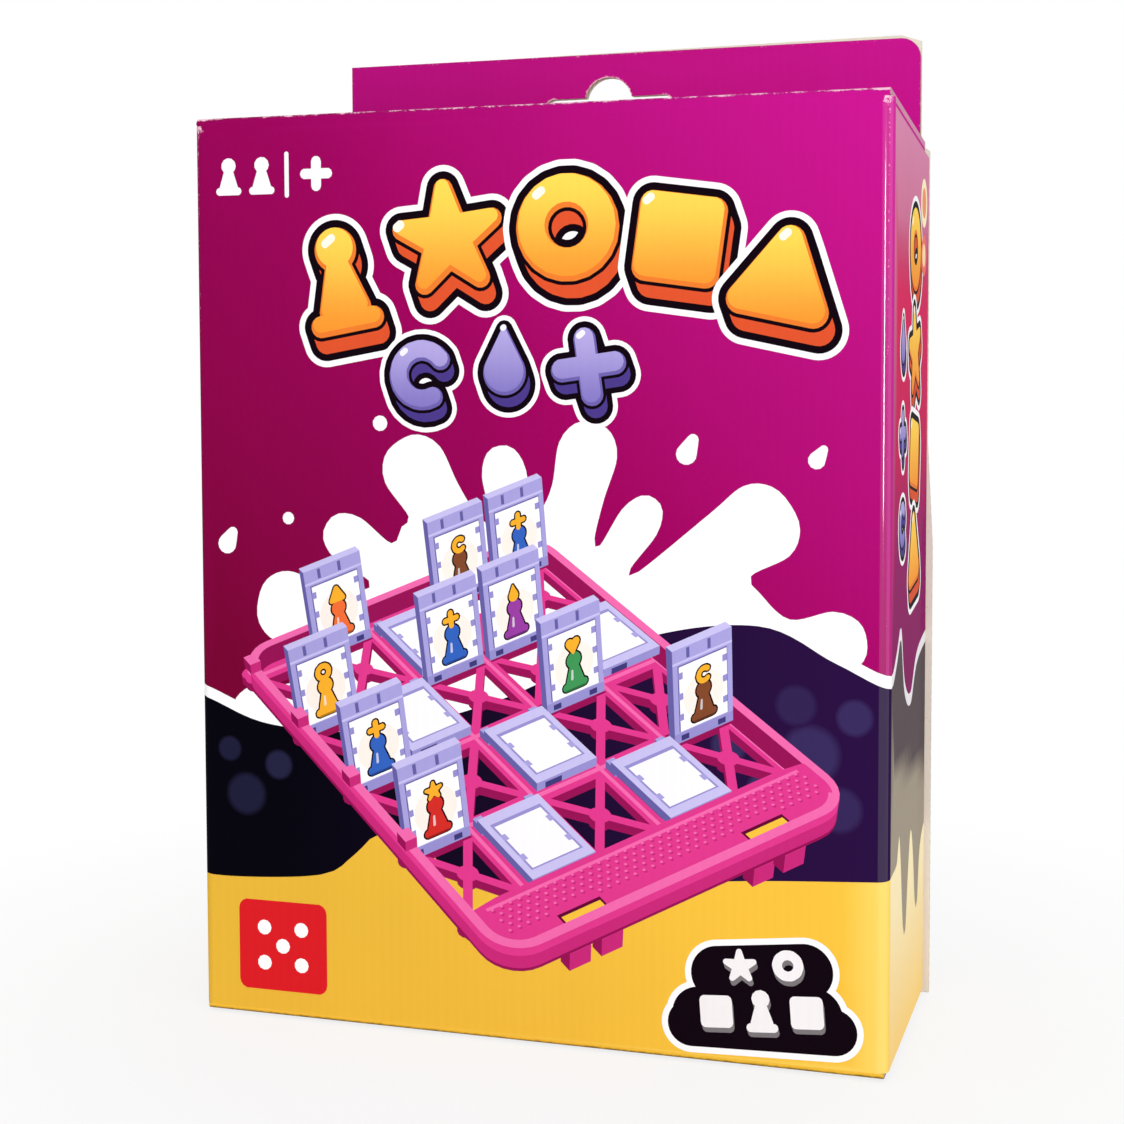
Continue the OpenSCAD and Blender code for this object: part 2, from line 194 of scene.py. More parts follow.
class PrintColours(PropertyGroup):
    """Inks of the carton's print."""
    field_bright: swatch("Bright field", "Magenta at the print's upper right", shade(195, 18, 139))
    field_middle: swatch("Middle field", "Magenta across the print's middle", shade(154, 1, 90))
    field_deep: swatch("Deep field", "Magenta at the print's lower left", shade(116, 0, 48))
    night: swatch("Night band", "Dark band under the splash, left end", shade(1, 0, 10))
    dusk: swatch("Dusk", "Dark band under the splash, right end", shade(40, 12, 64))
    sand: swatch("Base", "Yellow along the print's foot", shade(243, 192, 62))
    splash: swatch("Splash", "White of the splash and the tokens' halos", shade(250, 249, 250))
    outline: swatch("Outline", "Near black round the tokens", shade(14, 2, 12))
    warm_top: swatch("Warm tokens, top", "Yellow end of the large tokens' fade", shade(255, 214, 84))
    warm_foot: swatch("Warm tokens, foot", "Orange end of the large tokens' fade", shade(247, 148, 48))
    warm_edge: swatch("Warm tokens, edge", "Red orange of the large tokens' depth", shade(218, 82, 44))
    cool_top: swatch("Cool tokens, top", "Pale lavender of the small tokens", shade(178, 166, 222))
    cool_foot: swatch("Cool tokens, foot", "Deep lavender of the small tokens", shade(128, 116, 190))
    cool_edge: swatch("Cool tokens, edge", "Violet of the small tokens' depth", shade(72, 56, 132))
    signal: swatch("Red label", "Red of the square label at the foot", shade(214, 28, 36))


class BoardFinish(PropertyGroup):
    """Sizes of the printed board's surface."""
    lift: FloatProperty(
        name="Laminate", description="Height of the printed laminate above the board",
        subtype="DISTANCE", unit="LENGTH", min=0.00002, max=0.0002, default=0.00005)
    flute: FloatProperty(
        name="Flute pitch", description="Distance between the flutes that show through the liner",
        subtype="DISTANCE", unit="LENGTH", min=0.001, max=0.004, default=0.0022)
    grid: FloatProperty(
        name="Grid", description="Largest cell of the printed sheets",
        subtype="DISTANCE", unit="LENGTH", min=0.002, max=0.02, default=0.005)
    gloss: FloatProperty(
        name="Roughness", description="Roughness of the laminate",
        subtype="FACTOR", min=0.1, max=0.8, default=0.34)


class MouldedColours(PropertyGroup):
    """Colours of the plastic, the cards and the packing."""
    tray: swatch("Trays", "Pink of the trays", shade(214, 44, 122))
    flip_frame: swatch("Flip frames", "Lilac of the flip frames", shade(158, 150, 210))
    card: swatch("Cards", "White of the coated cards", shade(240, 240, 238))
    liner: swatch("Board inside", "Grey brown of the board's unprinted side", shade(186, 172, 150))
    packing: swatch("Packing", "Brown of the packing board", shade(190, 154, 108))
    rear: swatch("Rear card", "Grey white of the rear card's unprinted side", shade(232, 224, 210))


class StageLight(PropertyGroup):
    """Camera, lamps and surroundings."""
    lens: FloatProperty(
        name="Lens", description="Focal length on a 36 mm sensor",
        min=20, max=200, default=61.75)
    surround: FloatProperty(
        name="Surround", description="Strength of the even light from all sides",
        min=0, max=2, default=0.74)
    key: FloatProperty(
        name="Key lamp", description="Power of the large soft lamp in watts",
        min=0, max=100, default=3.6)
    strip: FloatProperty(
        name="Strip lamp", description="Power of the upright strip lamp in watts",
        min=0, max=50, default=6.0)


# Flat artwork: convex shapes made of discs, painted over one another

def hull(points):
    """Convex outline of some points, counter clockwise."""
    points = sorted(set(points))
    if len(points) < 3:
        return points

    def half(chain):
        kept = []
        for p in chain:
            while len(kept) > 1 and ((kept[-1][0] - kept[-2][0]) * (p[1] - kept[-2][1])
                                     <= (kept[-1][1] - kept[-2][1]) * (p[0] - kept[-2][0])):
                kept.pop()
            kept.append(p)
        return kept[:-1]

    return half(points) + half(points[::-1])


def disc(x, z, radius, step=0.95):
    """Points round a disc about step apart, at least 10 and at most 96."""
    count = max(10, min(96, int(2 * math.pi * radius / step)))
    return [(x + radius * math.cos(2 * math.pi * k / count),
             z + radius * math.sin(2 * math.pi * k / count)) for k in range(count)]


def blob(discs, grow=0.0, drop=None, step=0.95):
    """Convex outline round some discs, which may be grown, or swept along by drop."""
    points = []
    for x, z, radius in discs:
        grown = max(0.05, radius + grow)
        points += disc(x, z, grown, step)
        if drop:
            points += disc(x + drop[0], z + drop[1], grown, step)
    return hull([(round(x, 5), round(z, 5)) for x, z in points])


def rounded(x0, z0, x1, z1, radius):
    """Outline of a rectangle with round corners, whose middles are given."""
    return blob([(x0, z0, radius), (x1, z0, radius), (x1, z1, radius), (x0, z1, radius)])


def bar(x0, z0, x1, z1):
    """Outline of an upright rectangle between two corners."""
    return [(x0, z0), (x1, z0), (x1, z1), (x0, z1)]


def chain(centre, radius, first, last, thick, count=12):
    """Capsules one after another along an arc, as parts of a token."""
    spots = []
    for k in range(count + 1):
        turn = math.radians(first + (last - first) * k / count)
        spots.append((centre[0] + radius * math.cos(turn), centre[1] + radius * math.sin(turn), thick))
    return [[a, b] for a, b in zip(spots, spots[1:])]


def smooth_through(points, step=2.0):
    """A smooth curve through points, as a list of points about step apart."""
    before = tuple(2 * a - b for a, b in zip(points[0], points[1]))
    after = tuple(2 * a - b for a, b in zip(points[-1], points[-2]))
    p = [before, *points, after]
    out = []
    for i in range(1, len(p) - 2):
        pieces = max(2, int(math.dist(p[i], p[i + 1]) / step))
        for k in range(pieces):
            t = k / pieces
            out.append(tuple(
                0.5 * (2 * b + (c - a) * t + (2 * a - 5 * b + 4 * c - d) * t * t
                       + (3 * b - a - 3 * c + d) * t ** 3)
                for a, b, c, d in zip(p[i - 1], p[i], p[i + 1], p[i + 2])))
    return out + [tuple(points[-1])]


# Tokens of the print, one unit in radius: each part is a convex shape round its discs
TOKENS = {
    "star": [[(0, 0, 0.40), (0.80 * math.sin(turn), 0.80 * math.cos(turn), 0.17)]
             for turn in (2 * math.pi * k / 5 for k in range(5))],
    "ring": chain((0, 0), 0.62, 0, 360, 0.29, 22),
    "pawn": [[(0, 0.52, 0.40)], [(0, 0.40, 0.20), (-0.34, -0.52, 0.16), (0.34, -0.52, 0.16)],
             [(-0.50, -0.74, 0.20), (0.50, -0.74, 0.20)]],
    "block": [[(-0.56, -0.56, 0.26), (0.56, -0.56, 0.26), (0.56, 0.56, 0.26), (-0.56, 0.56, 0.26)]],
    "peak": [[(-0.66, -0.52, 0.28), (0.66, -0.52, 0.28), (0, 0.64, 0.28)]],
    "cross": [[(-0.66, 0, 0.29), (0.66, 0, 0.29)], [(0, -0.66, 0.29), (0, 0.66, 0.29)]],
    "heart": [[(-0.36, 0.34, 0.46), (0, -0.72, 0.12)], [(0.36, 0.34, 0.46), (0, -0.72, 0.12)]],
    "moon": chain((0.10, 0), 0.62, 50, 310, 0.27, 17),
    "lens": chain((-0.18, 0.22), 0.50, 0, 360, 0.20, 24) + [[(0.26, -0.22, 0.18), (0.74, -0.70, 0.22)]],
    "drop": [[(0, -0.26, 0.58), (0, 0.84, 0.08)]],
}


# How a token is drawn, as its depth, outline and halo in millimetres
FRONT_LARGE, FRONT_SMALL = (3.4, 1.5, 2.8), (2.4, 1.2, 2.2)
LARGE, SIDE_SMALL, LID_SMALL = (2.8, 1.3, 2.4), (1.8, 0.9, 1.8), (1.6, 0.9, 1.8)
# The shift of a token's depth to the right, and its inner outline, as shares of its depth and outline
DEPTH_ASIDE, INNER_LINE = 0.35, 0.45
# The bevel round a token's face and its shine, as shares of its size
BEVEL, SHINE = 0.055, 0.075
# The face's shift as shares of the bevel, and where the shine lies as a share of its disc and an angle
FACE_ASIDE, FACE_UP = -0.3, 0.8
SHINE_OUT, SHINE_TURN, SHINE_SPREAD = 0.55, math.radians(130), 0.35


def token_tones(inks):
    """Face, foot, edge, outline and halo of the large warm tokens, and of the small cool ones."""
    rest = tuple(inks.outline), tuple(inks.splash)
    return ((tuple(inks.warm_top), tuple(inks.warm_foot), tuple(inks.warm_edge), *rest),
            (tuple(inks.cool_top), tuple(inks.cool_foot), tuple(inks.cool_edge), *rest))


def laid(parts, x, z, size, tilt=0.0):
    """A token's parts in millimetres, turned by tilt degrees and moved to x, z."""
    c, s = math.cos(math.radians(tilt)), math.sin(math.radians(tilt))
    return [[(x + size * (a * c - b * s), z + size * (a * s + b * c), size * r) for a, b, r in part]
            for part in parts]


class Sheet:
    """A flat print in millimetres: shapes cut into one another, the last one painted on top."""

    def __init__(self, outline, grid=5.0):
        self.outline = outline
        self.grid = grid
        self.shapes = []
        self.colours = []
        self.holes = []
        self.lines = []

    def paint(self, shape, colour):
        """Lays a shape over the others, in a colour or in what colour(x, z) gives."""
        if len(shape) > 2:
            self.shapes.append(shape)
            self.colours.append(colour)

    def cut(self, shape):
        """Leaves a shape open."""
        self.holes.append(shape)

    def crease(self, a, b):
        """Gives the sheet an edge from a to b, along which it can fold."""
        self.lines.append((a, b))

    def stamp(self, name, x, z, size, colour, tilt=0.0, grow=0.0, drop=None):
        """A token as a flat shape in one colour."""
        for part in laid(TOKENS[name], x, z, size, tilt):
            self.paint(blob(part, grow, drop), colour)

    def token(self, name, x, z, size, tilt, tones, weight):
        """A chunky game token with its depth, outline and halo."""
        face, foot, edge, line, glow = tones
        depth, rim, halo = weight
        drop = (DEPTH_ASIDE * depth, -depth)
        for grow, colour in ((halo, glow), (rim, line), (0, edge)):
            self.stamp(name, x, z, size, colour, tilt, grow, drop)
        self.stamp(name, x, z, size, line, tilt, rim * INNER_LINE)
        low, high = z - size, z + size
        bevel = size * BEVEL
        parts = laid(TOKENS[name], x, z, size, tilt)
        for part in parts:
            self.paint(blob(part, -0.1), between(foot, edge, 0.45))
        for part in parts:
            self.paint([(px + FACE_ASIDE * bevel, pz + FACE_UP * bevel) for px, pz in blob(part, -bevel)],
                       lambda px, pz: between(foot, face, ease((pz - low) / (high - low))))
        # The shine lies on the disc at the upper left
        a, b, radius = min((spot for part in parts for spot in part), key=lambda spot: spot[0] - spot[1])
        out = SHINE_OUT * radius
        shine = [(a + out * math.cos(turn), b + out * math.sin(turn), SHINE * size)
                 for turn in (SHINE_TURN - SHINE_SPREAD, SHINE_TURN + SHINE_SPREAD)]
        self.paint(blob(shine), between(face, (1, 1, 1), 0.75))

    def tokens(self, places, tones, weight):
        """Tokens drawn alike, each given as its name, x, z, size and tilt."""
        for place in places:
            self.token(*place, tones, weight)

    def outlines(self):
        """Points, edges and faces of every shape, hole and crease, with the points of an even grid."""
        coords, edges, faces = [], [], []
        for shape in (self.outline, *self.shapes, *self.holes):
            area = sum(a[0] * b[1] - b[0] * a[1] for a, b in zip(shape, shape[1:] + shape[:1]))
            faces.append(list(range(len(coords), len(coords) + len(shape))))
            coords.extend(Vector(p) for p in (shape if area > 0 else shape[::-1]))
        for a, b in self.lines:
            edges.append((len(coords), len(coords) + 1))
            coords.extend((Vector(a), Vector(b)))
        (left, right), (foot, top) = [(min(values), max(values)) for values in zip(*self.outline)]
        across = max(1, int((right - left) / self.grid))
        up = max(1, int((top - foot) / self.grid))
        for i in range(across):
            for k in range(up):
                coords.append(Vector((left + (i + 0.5) * (right - left) / across,
                                      foot + (k + 0.5) * (top - foot) / up)))
        return coords, edges, faces

    def build(self, name, place, scuff=None, fold=None):
        """The sheet as an object, each point put by place(x, z) -> (point, normal) in millimetres.
        Cells whose middle passes fold(x, z) take the second material."""
        verts, _, cells, _, _, owners = delaunay_2d_cdt(*self.outlines(), 1, FINE, True)
        first_hole = 1 + len(self.shapes)
        kept, inks, folded = [], [], []
        for cell, owner in zip(cells, owners):
            top = max(owner, default=0)
            if 0 not in owner or top >= first_hole:
                continue
            colour = self.colours[top - 1] if top else (1, 1, 1)
            middle = sum((verts[v] for v in cell), Vector((0, 0))) / len(cell)
            kept.append(cell)
            folded.append(1 if fold and fold(*middle) else 0)
            for v in cell:
                inks.append(colour(*verts[v]) if callable(colour) else colour)
        used = sorted({v for cell in kept for v in cell})
        index = {v: i for i, v in enumerate(used)}
        spots = [place(*verts[v]) for v in used]
        mesh = bpy.data.meshes.new(name)
        mesh.from_pydata([p * MM for p, _ in spots], [], [[index[v] for v in cell] for cell in kept])
        add_print(mesh, inks, [scuff(*verts[v]) if scuff else 0.0 for v in used])
        mesh.update()
        facing = sum(polygon.normal.dot(spots[polygon.vertices[0]][1]) for polygon in mesh.polygons)
        if facing < 0:
            mesh.flip_normals()
        mesh.polygons.foreach_set("material_index", folded)
        mesh.normals_split_custom_set_from_vertices([n for _, n in spots])
        return make_object(name, mesh)


def add_print(mesh, inks, wear):
    """Gives a mesh the ink of each face corner, how worn each point is, and smooth faces."""
    layer = mesh.color_attributes.new("print", "FLOAT_COLOR", "CORNER")
    layer.data.foreach_set("color", [c for ink in inks for c in (*ink[:3], 1.0)])
    worn = mesh.attributes.new("scuff", "FLOAT", "POINT")
    worn.data.foreach_set("value", wear)
    mesh.polygons.foreach_set("use_smooth", [True] * len(mesh.polygons))


def make_object(name, data):
    """A mesh, a lamp or a camera as an object in the scene."""
    made = bpy.data.objects.new(name, data)
    bpy.context.scene.collection.objects.link(made)
    return made


# Materials

class Recipe:
    """One material, built from nodes that read where the surface lies."""

    def __init__(self, name, sockets):
        self.material = bpy.data.materials.new(name)
        self.material.use_nodes = True
        self.tree = self.material.node_tree
        self.shader = self.tree.nodes["Principled BSDF"]
        for socket, value in sockets.items():
            self.shader.inputs[socket].default_value = value
        self.place = self.add("ShaderNodeTexCoord").outputs["Object"]

    def add(self, kind, **settings):
        """A new node with its settings."""
        node = self.tree.nodes.new(kind)
        for key, value in settings.items():
            setattr(node, key, value)
        return node

    def join(self, source, target):
        """Links an output to an input."""
        self.tree.links.new(source, target)

    def stretched(self, scale):
        """The object's own coordinates, scaled along each axis."""
        node = self.add("ShaderNodeMapping", vector_type="POINT")
        node.inputs["Scale"].default_value = scale
        self.join(self.place, node.inputs["Vector"])
        return node.outputs["Vector"]

    def noise(self, scale, detail=3.0, rough=0.5, stretch=(1, 1, 1)):
        """Soft noise from 0 to 1, with scale spots to a metre, stretched along each axis."""
        node = self.add("ShaderNodeTexNoise")
        node.inputs["Scale"].default_value = scale
        node.inputs["Detail"].default_value = detail
        node.inputs["Roughness"].default_value = rough
        self.join(self.stretched(stretch), node.inputs["Vector"])
        return node.outputs["Fac"]

    def ridges(self, pitch, stretch=(1, 1, 0), distortion=0.0):
        """Even ridges across the axes kept in stretch, pitch metres apart."""
        node = self.add("ShaderNodeTexWave", wave_type="BANDS", bands_direction="DIAGONAL")
        node.inputs["Scale"].default_value = 2 * math.pi / (10 * pitch)
        node.inputs["Distortion"].default_value = distortion
        self.join(self.stretched(stretch), node.inputs["Vector"])
        return node.outputs["Fac"]

    def height(self):
        """How high the surface lies above the floor."""
        node = self.add("ShaderNodeSeparateXYZ")
        self.join(self.place, node.inputs["Vector"])
        return node.outputs["Z"]

    def distance(self):
        """How far the surface lies from the frame's origin."""
        node = self.add("ShaderNodeVectorMath", operation="LENGTH")
        self.join(self.place, node.inputs[0])
        return node.outputs["Value"]

    def ranged(self, value, low, high, to_low=0.0, to_high=1.0):
        """A value between low and high, stretched to lie between to_low and to_high."""
        node = self.add("ShaderNodeMapRange", clamp=True)
        ends = {"From Min": low, "From Max": high, "To Min": to_low, "To Max": to_high}
        for socket, number in ends.items():
            node.inputs[socket].default_value = number
        self.join(value, node.inputs["Value"])
        return node.outputs["Result"]

    def sum_of(self, operation, a, b):
        """Two values, each a number or a socket, put together by operation."""
        node = self.add("ShaderNodeMath", operation=operation)
        for socket, value in zip(node.inputs, (a, b)):
            if isinstance(value, (int, float)):
                socket.default_value = value
            else:
                self.join(value, socket)
        return node.outputs["Value"]

    def mixed(self, share, a, b, blend="MIX"):
        """Colours a and b, each a colour or a socket, mixed by share."""
        node = self.add("ShaderNodeMix", data_type="RGBA", blend_type=blend)
        if isinstance(share, (int, float)):
            node.inputs["Factor"].default_value = share
        else:
            self.join(share, node.inputs["Factor"])
        for socket, value in ((node.inputs[6], a), (node.inputs[7], b)):
            if isinstance(value, (tuple, list)):
                socket.default_value = (*value[:3], 1)
            else:
                self.join(value, socket)
        return node.outputs[2]

    def attribute(self, name, output="Color"):
        """What the mesh holds under a name."""
        node = self.add("ShaderNodeAttribute", attribute_name=name)
        return node.outputs[output]

    def colour(self, source):
        """Gives the material its colour."""
        self.join(source, self.shader.inputs["Base Color"])

    def rough(self, source):
        """Gives the material its roughness."""
        self.join(source, self.shader.inputs["Roughness"])

    def bumps(self, *heights):
        """Heights as (source, metres), the finest last, laid over one another."""
        below = None
        for source, metres in heights:
            node = self.add("ShaderNodeBump")
            node.inputs["Strength"].default_value = 1.0
            node.inputs["Distance"].default_value = metres
            self.join(source, node.inputs["Height"])
            if below:
                self.join(below, node.inputs["Normal"])
            below = node.outputs["Normal"]
        self.join(below, self.shader.inputs["Normal"])


def laminate(name, finish, ink=None, foot=None, coat=0.06):
    """Glossy print on fluted board. Its colour comes from the print, or from ink where nothing is printed.
    Below a height of foot metres the ink is darkened, partly by wear and partly as painted shade where the
    board meets the floor."""
    r = Recipe(name, {"Specular IOR Level": 0.0, "Coat Weight": coat, "Coat Roughness": 0.08})
    base = r.attribute("print") if ink is None else ink
    # Wear with painted shade: the ink darkens below foot, along a ragged line
    if foot:
        ragged = r.sum_of("ADD", r.height(), r.sum_of("MULTIPLY", r.noise(700, 3), 0.0008))
        base = r.mixed(r.ranged(ragged, foot, foot + 0.0006), scaled(ink, 0.22), ink)
    # Painted sheen: faint lighter streaks along the flutes and up the board, where light catches the
    # washboard
    flute_sheen = r.sum_of("ADD", r.sum_of("MULTIPLY", r.ridges(finish.flute, (1, 1, 0), 2.5), 0.25),
                       r.noise(60, 3, 0.5, (1, 1, 0.06)))
    base = r.mixed(r.ranged(flute_sheen, 0.42, 0.85), base, r.mixed(1.0, base, (1.03, 1.025, 1.03), "MULTIPLY"))
    blotches = r.noise(16, 2, 0.5)
    blotched = r.mixed(1.0, base, (0.92, 0.9, 0.93), "MULTIPLY")
    base = r.mixed(r.ranged(blotches, 0.4, 0.75, 0, 0.6), base, blotched)
    if ink is None:
        crackle = r.noise(1900, 5, 0.75)
        worn = r.ranged(r.sum_of("ADD", crackle, r.attribute("scuff", "Fac")), 0.97, 1.06, 0, 0.92)
        base = r.mixed(worn, base, shade(252, 206, 224))
    r.colour(base)
    r.rough(r.ranged(r.noise(220, 4, 0.6), 0.3, 0.75, finish.gloss - 0.05, finish.gloss + 0.09))
    r.bumps((r.ridges(finish.flute), 0.000012), (r.noise(90, 2), 0.00006), (r.noise(2600, 2), 0.000002))
    return r.material


def liner(name, colour, grain=0.12):
    """Unprinted board or card: soft fibres and a few darker specks."""
    r = Recipe(name, {"Specular IOR Level": 0.25})
    dark = scaled(colour, 1 - grain)
    base = r.mixed(r.ranged(r.noise(70, 4, 0.6), 0.3, 0.7), colour, dark)
    base = r.mixed(r.ranged(r.noise(900, 3, 0.6, (1, 1, 0.3)), 0.35, 0.75, 0, 0.6), base,
                   scaled(colour, 1 - grain * 1.5))
    specks = r.ranged(r.noise(1400, 1, 0.5), 0.74, 0.78, 0, 0.55)
    r.colour(r.mixed(specks, base, scaled(colour, 0.5)))
    r.rough(r.ranged(r.noise(300, 3), 0.3, 0.7, 0.78, 0.92))
    r.bumps((r.noise(120, 2), 0.00005), (r.noise(1800, 3, 0.6, (1, 1, 0.4)), 0.00002))
    return r.material


def cut_edge(name, colour, finish):
    """The cut side of fluted board, where the waves between the two liners show."""
    r = Recipe(name, {"Specular IOR Level": 0.2})
    waves = r.ridges(finish.flute, (1, 1, 1), 1.5)
    base = r.mixed(r.ranged(waves, 0.25, 0.8), scaled(colour, 0.68), colour)
    fibres = r.ranged(r.noise(1600, 4, 0.7), 0.35, 0.7, 0, 0.5)
    r.colour(r.mixed(fibres, base, scaled(colour, 1.25)))
    r.rough(r.ranged(r.noise(500, 3), 0.3, 0.7, 0.8, 0.95))
    r.bumps((waves, 0.00012), (r.noise(1600, 3, 0.6), 0.00004))
    return r.material


def moulded(name, colour, gloss, sheen=0.25):
    """Half gloss injection moulding with flow marks and a fine grain."""
    r = Recipe(name, {"Specular IOR Level": 0.5, "Coat Weight": sheen, "Coat Roughness": 0.22,
                      "Subsurface Weight": 0.08, "Subsurface Radius": (0.004, 0.002, 0.002),
                      "Subsurface Scale": 0.3})
    flow = r.ranged(r.noise(24, 3, 0.55, (1, 1, 0.5)), 0.3, 0.7)
    base = r.mixed(flow, scaled(colour, 0.9), scaled(colour, 1.08))
    scratches = r.ranged(r.noise(420, 4, 0.7, (1, 0.12, 1)), 0.62, 0.72, 0, 0.18)
    r.colour(r.mixed(scratches, base, tuple(min(1, c * 1.3 + 0.03) for c in colour)))
    r.rough(r.ranged(r.noise(150, 4, 0.6), 0.3, 0.7, gloss - 0.06, gloss + 0.08))
    r.bumps((r.noise(60, 2), 0.00008), (r.noise(1500, 3, 0.6), 0.000006))
    return r.material


def coated_card(name, colour, printed):
    """White coated card, printed or bare."""
    r = Recipe(name, {"Specular IOR Level": 0.4})
    base = r.attribute("print") if printed else colour
    r.colour(r.mixed(r.ranged(r.noise(500, 4, 0.6), 0.35, 0.7, 0, 0.5), base,
                     r.mixed(1.0, base, (0.95, 0.945, 0.93), "MULTIPLY")))
    r.rough(r.ranged(r.noise(260, 3), 0.3, 0.7, 0.42, 0.58))
    r.bumps((r.noise(140, 2), 0.00003), (r.noise(2400, 3), 0.000004))
    return r.material


def paint_by_side(node, materials, choose):
    """Gives a CAD node its materials, and each face the one that choose(normal, centre) names."""
    item = frame["nodes"][node]
    item.data.materials.clear()
    names = list(materials)
    for name in names:
        item.data.materials.append(materials[name])
    for polygon in item.data.polygons:
        polygon.material_index = names.index(choose(polygon.normal, polygon.center / MM))


# The printed wrap: flat artwork, folded round the front and both sides

ARC = math.pi / 2 * CREASE_R
SIDE_RUN = BACK_Y - FRONT_Y - CREASE_R
CORNER = FLAT_HALF + ARC
# The share of the rear crease's bend that the wrap goes round
REAR_BEND = 0.94
WRAP_END = FLAT_HALF + ARC + SIDE_RUN + math.pi / 2 * BOARD * REAR_BEND
# A length along the wrap and a height that lie past its ends
WRAP_REACH, WRAP_TOP = 150, 205
# The shares of the front crease's bend where the side's ink starts and where the glossier print ends
INK_TURN, GLOSS_TURN = 0.4, 0.63
# Lines that fold the sheet: in a crease's bend, their tops, and those round the front's top corners
BEND_LINES, BEND_TOP, REAR_BEND_TOP = 8, 200, 195
POST_IN, POST_TOP, POST_LINES = 3, 198, (197.6, 196.4, 194.8, 192, 188)
# Pink of the painted highlight on the right front crease
FOLD_HIGHLIGHT_PINK = shade(255, 120, 214)


def wrap_place(lift):
    """Where a point of the flat wrap lands on the folded board, lift millimetres off it."""
    def place(u, z):
        side = math.copysign(1, u)
        run = abs(u) - FLAT_HALF
        if run <= 0:
            x, y, nx, ny = abs(u), FRONT_Y - lift, 0, -1
        elif run <= ARC:
            turn = run / CREASE_R
            nx, ny = math.sin(turn), -math.cos(turn)
            x = FLAT_HALF + (CREASE_R + lift) * nx
            y = FRONT_Y + CREASE_R + (CREASE_R + lift) * ny
        elif run <= ARC + SIDE_RUN:
            x, y, nx, ny = HALF + lift, FRONT_Y + CREASE_R + run - ARC, 1, 0
        else:
            turn = (run - ARC - SIDE_RUN) / BOARD
            nx, ny = math.cos(turn), math.sin(turn)
            x, y = HALF - BOARD + (BOARD + lift) * nx, BACK_Y + (BOARD + lift) * ny
        return Vector((side * x, y, z)), Vector((side * nx, ny, 0))
    return place


def side_top(y):
    """Height of a side panel's top edge at depth y, under the lid and the dust flap."""
    drop = 2 * BOARD + 2 * FOLD_GAP
    return CREASE_Z - (y - FRONT_Y) * math.tan(FALL) - drop / math.cos(FALL)


def wrap_outline():
    """The flat wrap's outline: the front with its corner posts, and the sides that slope to the back."""
    foot, top, slack = BOARD, FRONT_HIGH.z, 0.1
    post = CORNER + slack
    right = [(post, top - slack), (post, side_top(FRONT_Y + CREASE_R)), (CORNER + SIDE_RUN, side_top(BACK_Y)),
             (WRAP_END, side_top(BACK_Y) - slack), (WRAP_END, foot)]
    left = [(-u, z) for u, z in right[::-1]]
    return left + [(-FLAT_HALF, top), (FLAT_HALF, top)] + right


# The field's middle ink on the centre line, and the height and shares over which it fades across and up; the
# fade is painted light on the print's magenta
FADE_MIDDLE, FADE_OVER, FADE_ACROSS, FADE_UP = 140, 200, 0.62, 0.75


def field_colour_and_light(inks):
    """The magenta field's fade, from deep at the lower left to bright at the upper right: the print's magenta
    with painted light, brighter where the light falls.
    """
    deep, middle, bright = tuple(inks.field_deep), tuple(inks.field_middle), tuple(inks.field_bright)

    def fade(x, z):
        t = 0.5 + x / (2 * HALF) * FADE_ACROSS + (z - FADE_MIDDLE) / FADE_OVER * FADE_UP
        return between(deep, middle, 2 * t) if t < 0.5 else between(middle, bright, 2 * t - 1)
    return fade


# The right side's field from the top down, as heights and inks: the print's magenta with painted reflection,
# pale at the top and purple lower down
SIDE_FADE_AND_REFLECTION = [(196, (214, 136, 172)), (176, (206, 116, 152)), (168, (198, 62, 108)), (160, (214, 24, 90)),
             (128, (198, 20, 86)), (108, (143, 18, 98)), (60, (124, 12, 90))]


def side_colour_and_reflection(z):
    """The field's colour on the right side at height z, with its painted reflection."""
    for (high, above), (low, below) in zip(SIDE_FADE_AND_REFLECTION, SIDE_FADE_AND_REFLECTION[1:]):
        if z >= low:
            return between(shade(*below), shade(*above), (z - low) / (high - low))
    return shade(*SIDE_FADE_AND_REFLECTION[-1][1])


# The splash's fingers round its middle, as direction in degrees, reach and half width
SPLASH_MIDDLE = (2, 80)
FINGERS = [(190, 72, 6), (168, 66, 8), (147, 57, 5.5), (122, 58, 7.5), (99, 49, 5), (76, 55, 6.5),
           (55, 46, 4.5), (34, 66, 8.5), (8, 71, 6.5)]
DROPLETS = [[(-70, 106, 2.2), (-68.6, 108.6, 1.2)], [(-33, 133, 1.7)], [(35, 127, 2.2), (36.4, 130, 1.2)],
            [(-55, 112, 1.4)], [(62, 126, 1.8), (63.4, 128.2, 0.9)]]
# How far the valleys between the fingers lie inside the fingers' reach
VALLEY = 14


def splash_line():
    """The splash's edge, out along each finger and back into the valley after it."""
    line = []
    for k, (turn, reach, half) in enumerate(FINGERS):
        def spot(distance, aside):
            a = math.radians(turn)
            return (SPLASH_MIDDLE[0] + distance * math.cos(a) + aside * math.sin(a),
                    SPLASH_MIDDLE[1] + distance * math.sin(a) - aside * math.cos(a))

        out = [(15, 0.9), (6, 1), (1.2, 0.62)]
        line += [spot(reach - short, -share * half) for short, share in out]
        line.append(spot(reach, 0))
        line += [spot(reach - short, share * half) for short, share in out[::-1]]
        if k + 1 < len(FINGERS):
            after, far, _ = FINGERS[k + 1]
            a, deep = math.radians((turn + after) / 2), min(reach, far) - VALLEY
            line.append((SPLASH_MIDDLE[0] + deep * math.cos(a), SPLASH_MIDDLE[1] + deep * math.sin(a)))
    return smooth_through(line, 1.4)


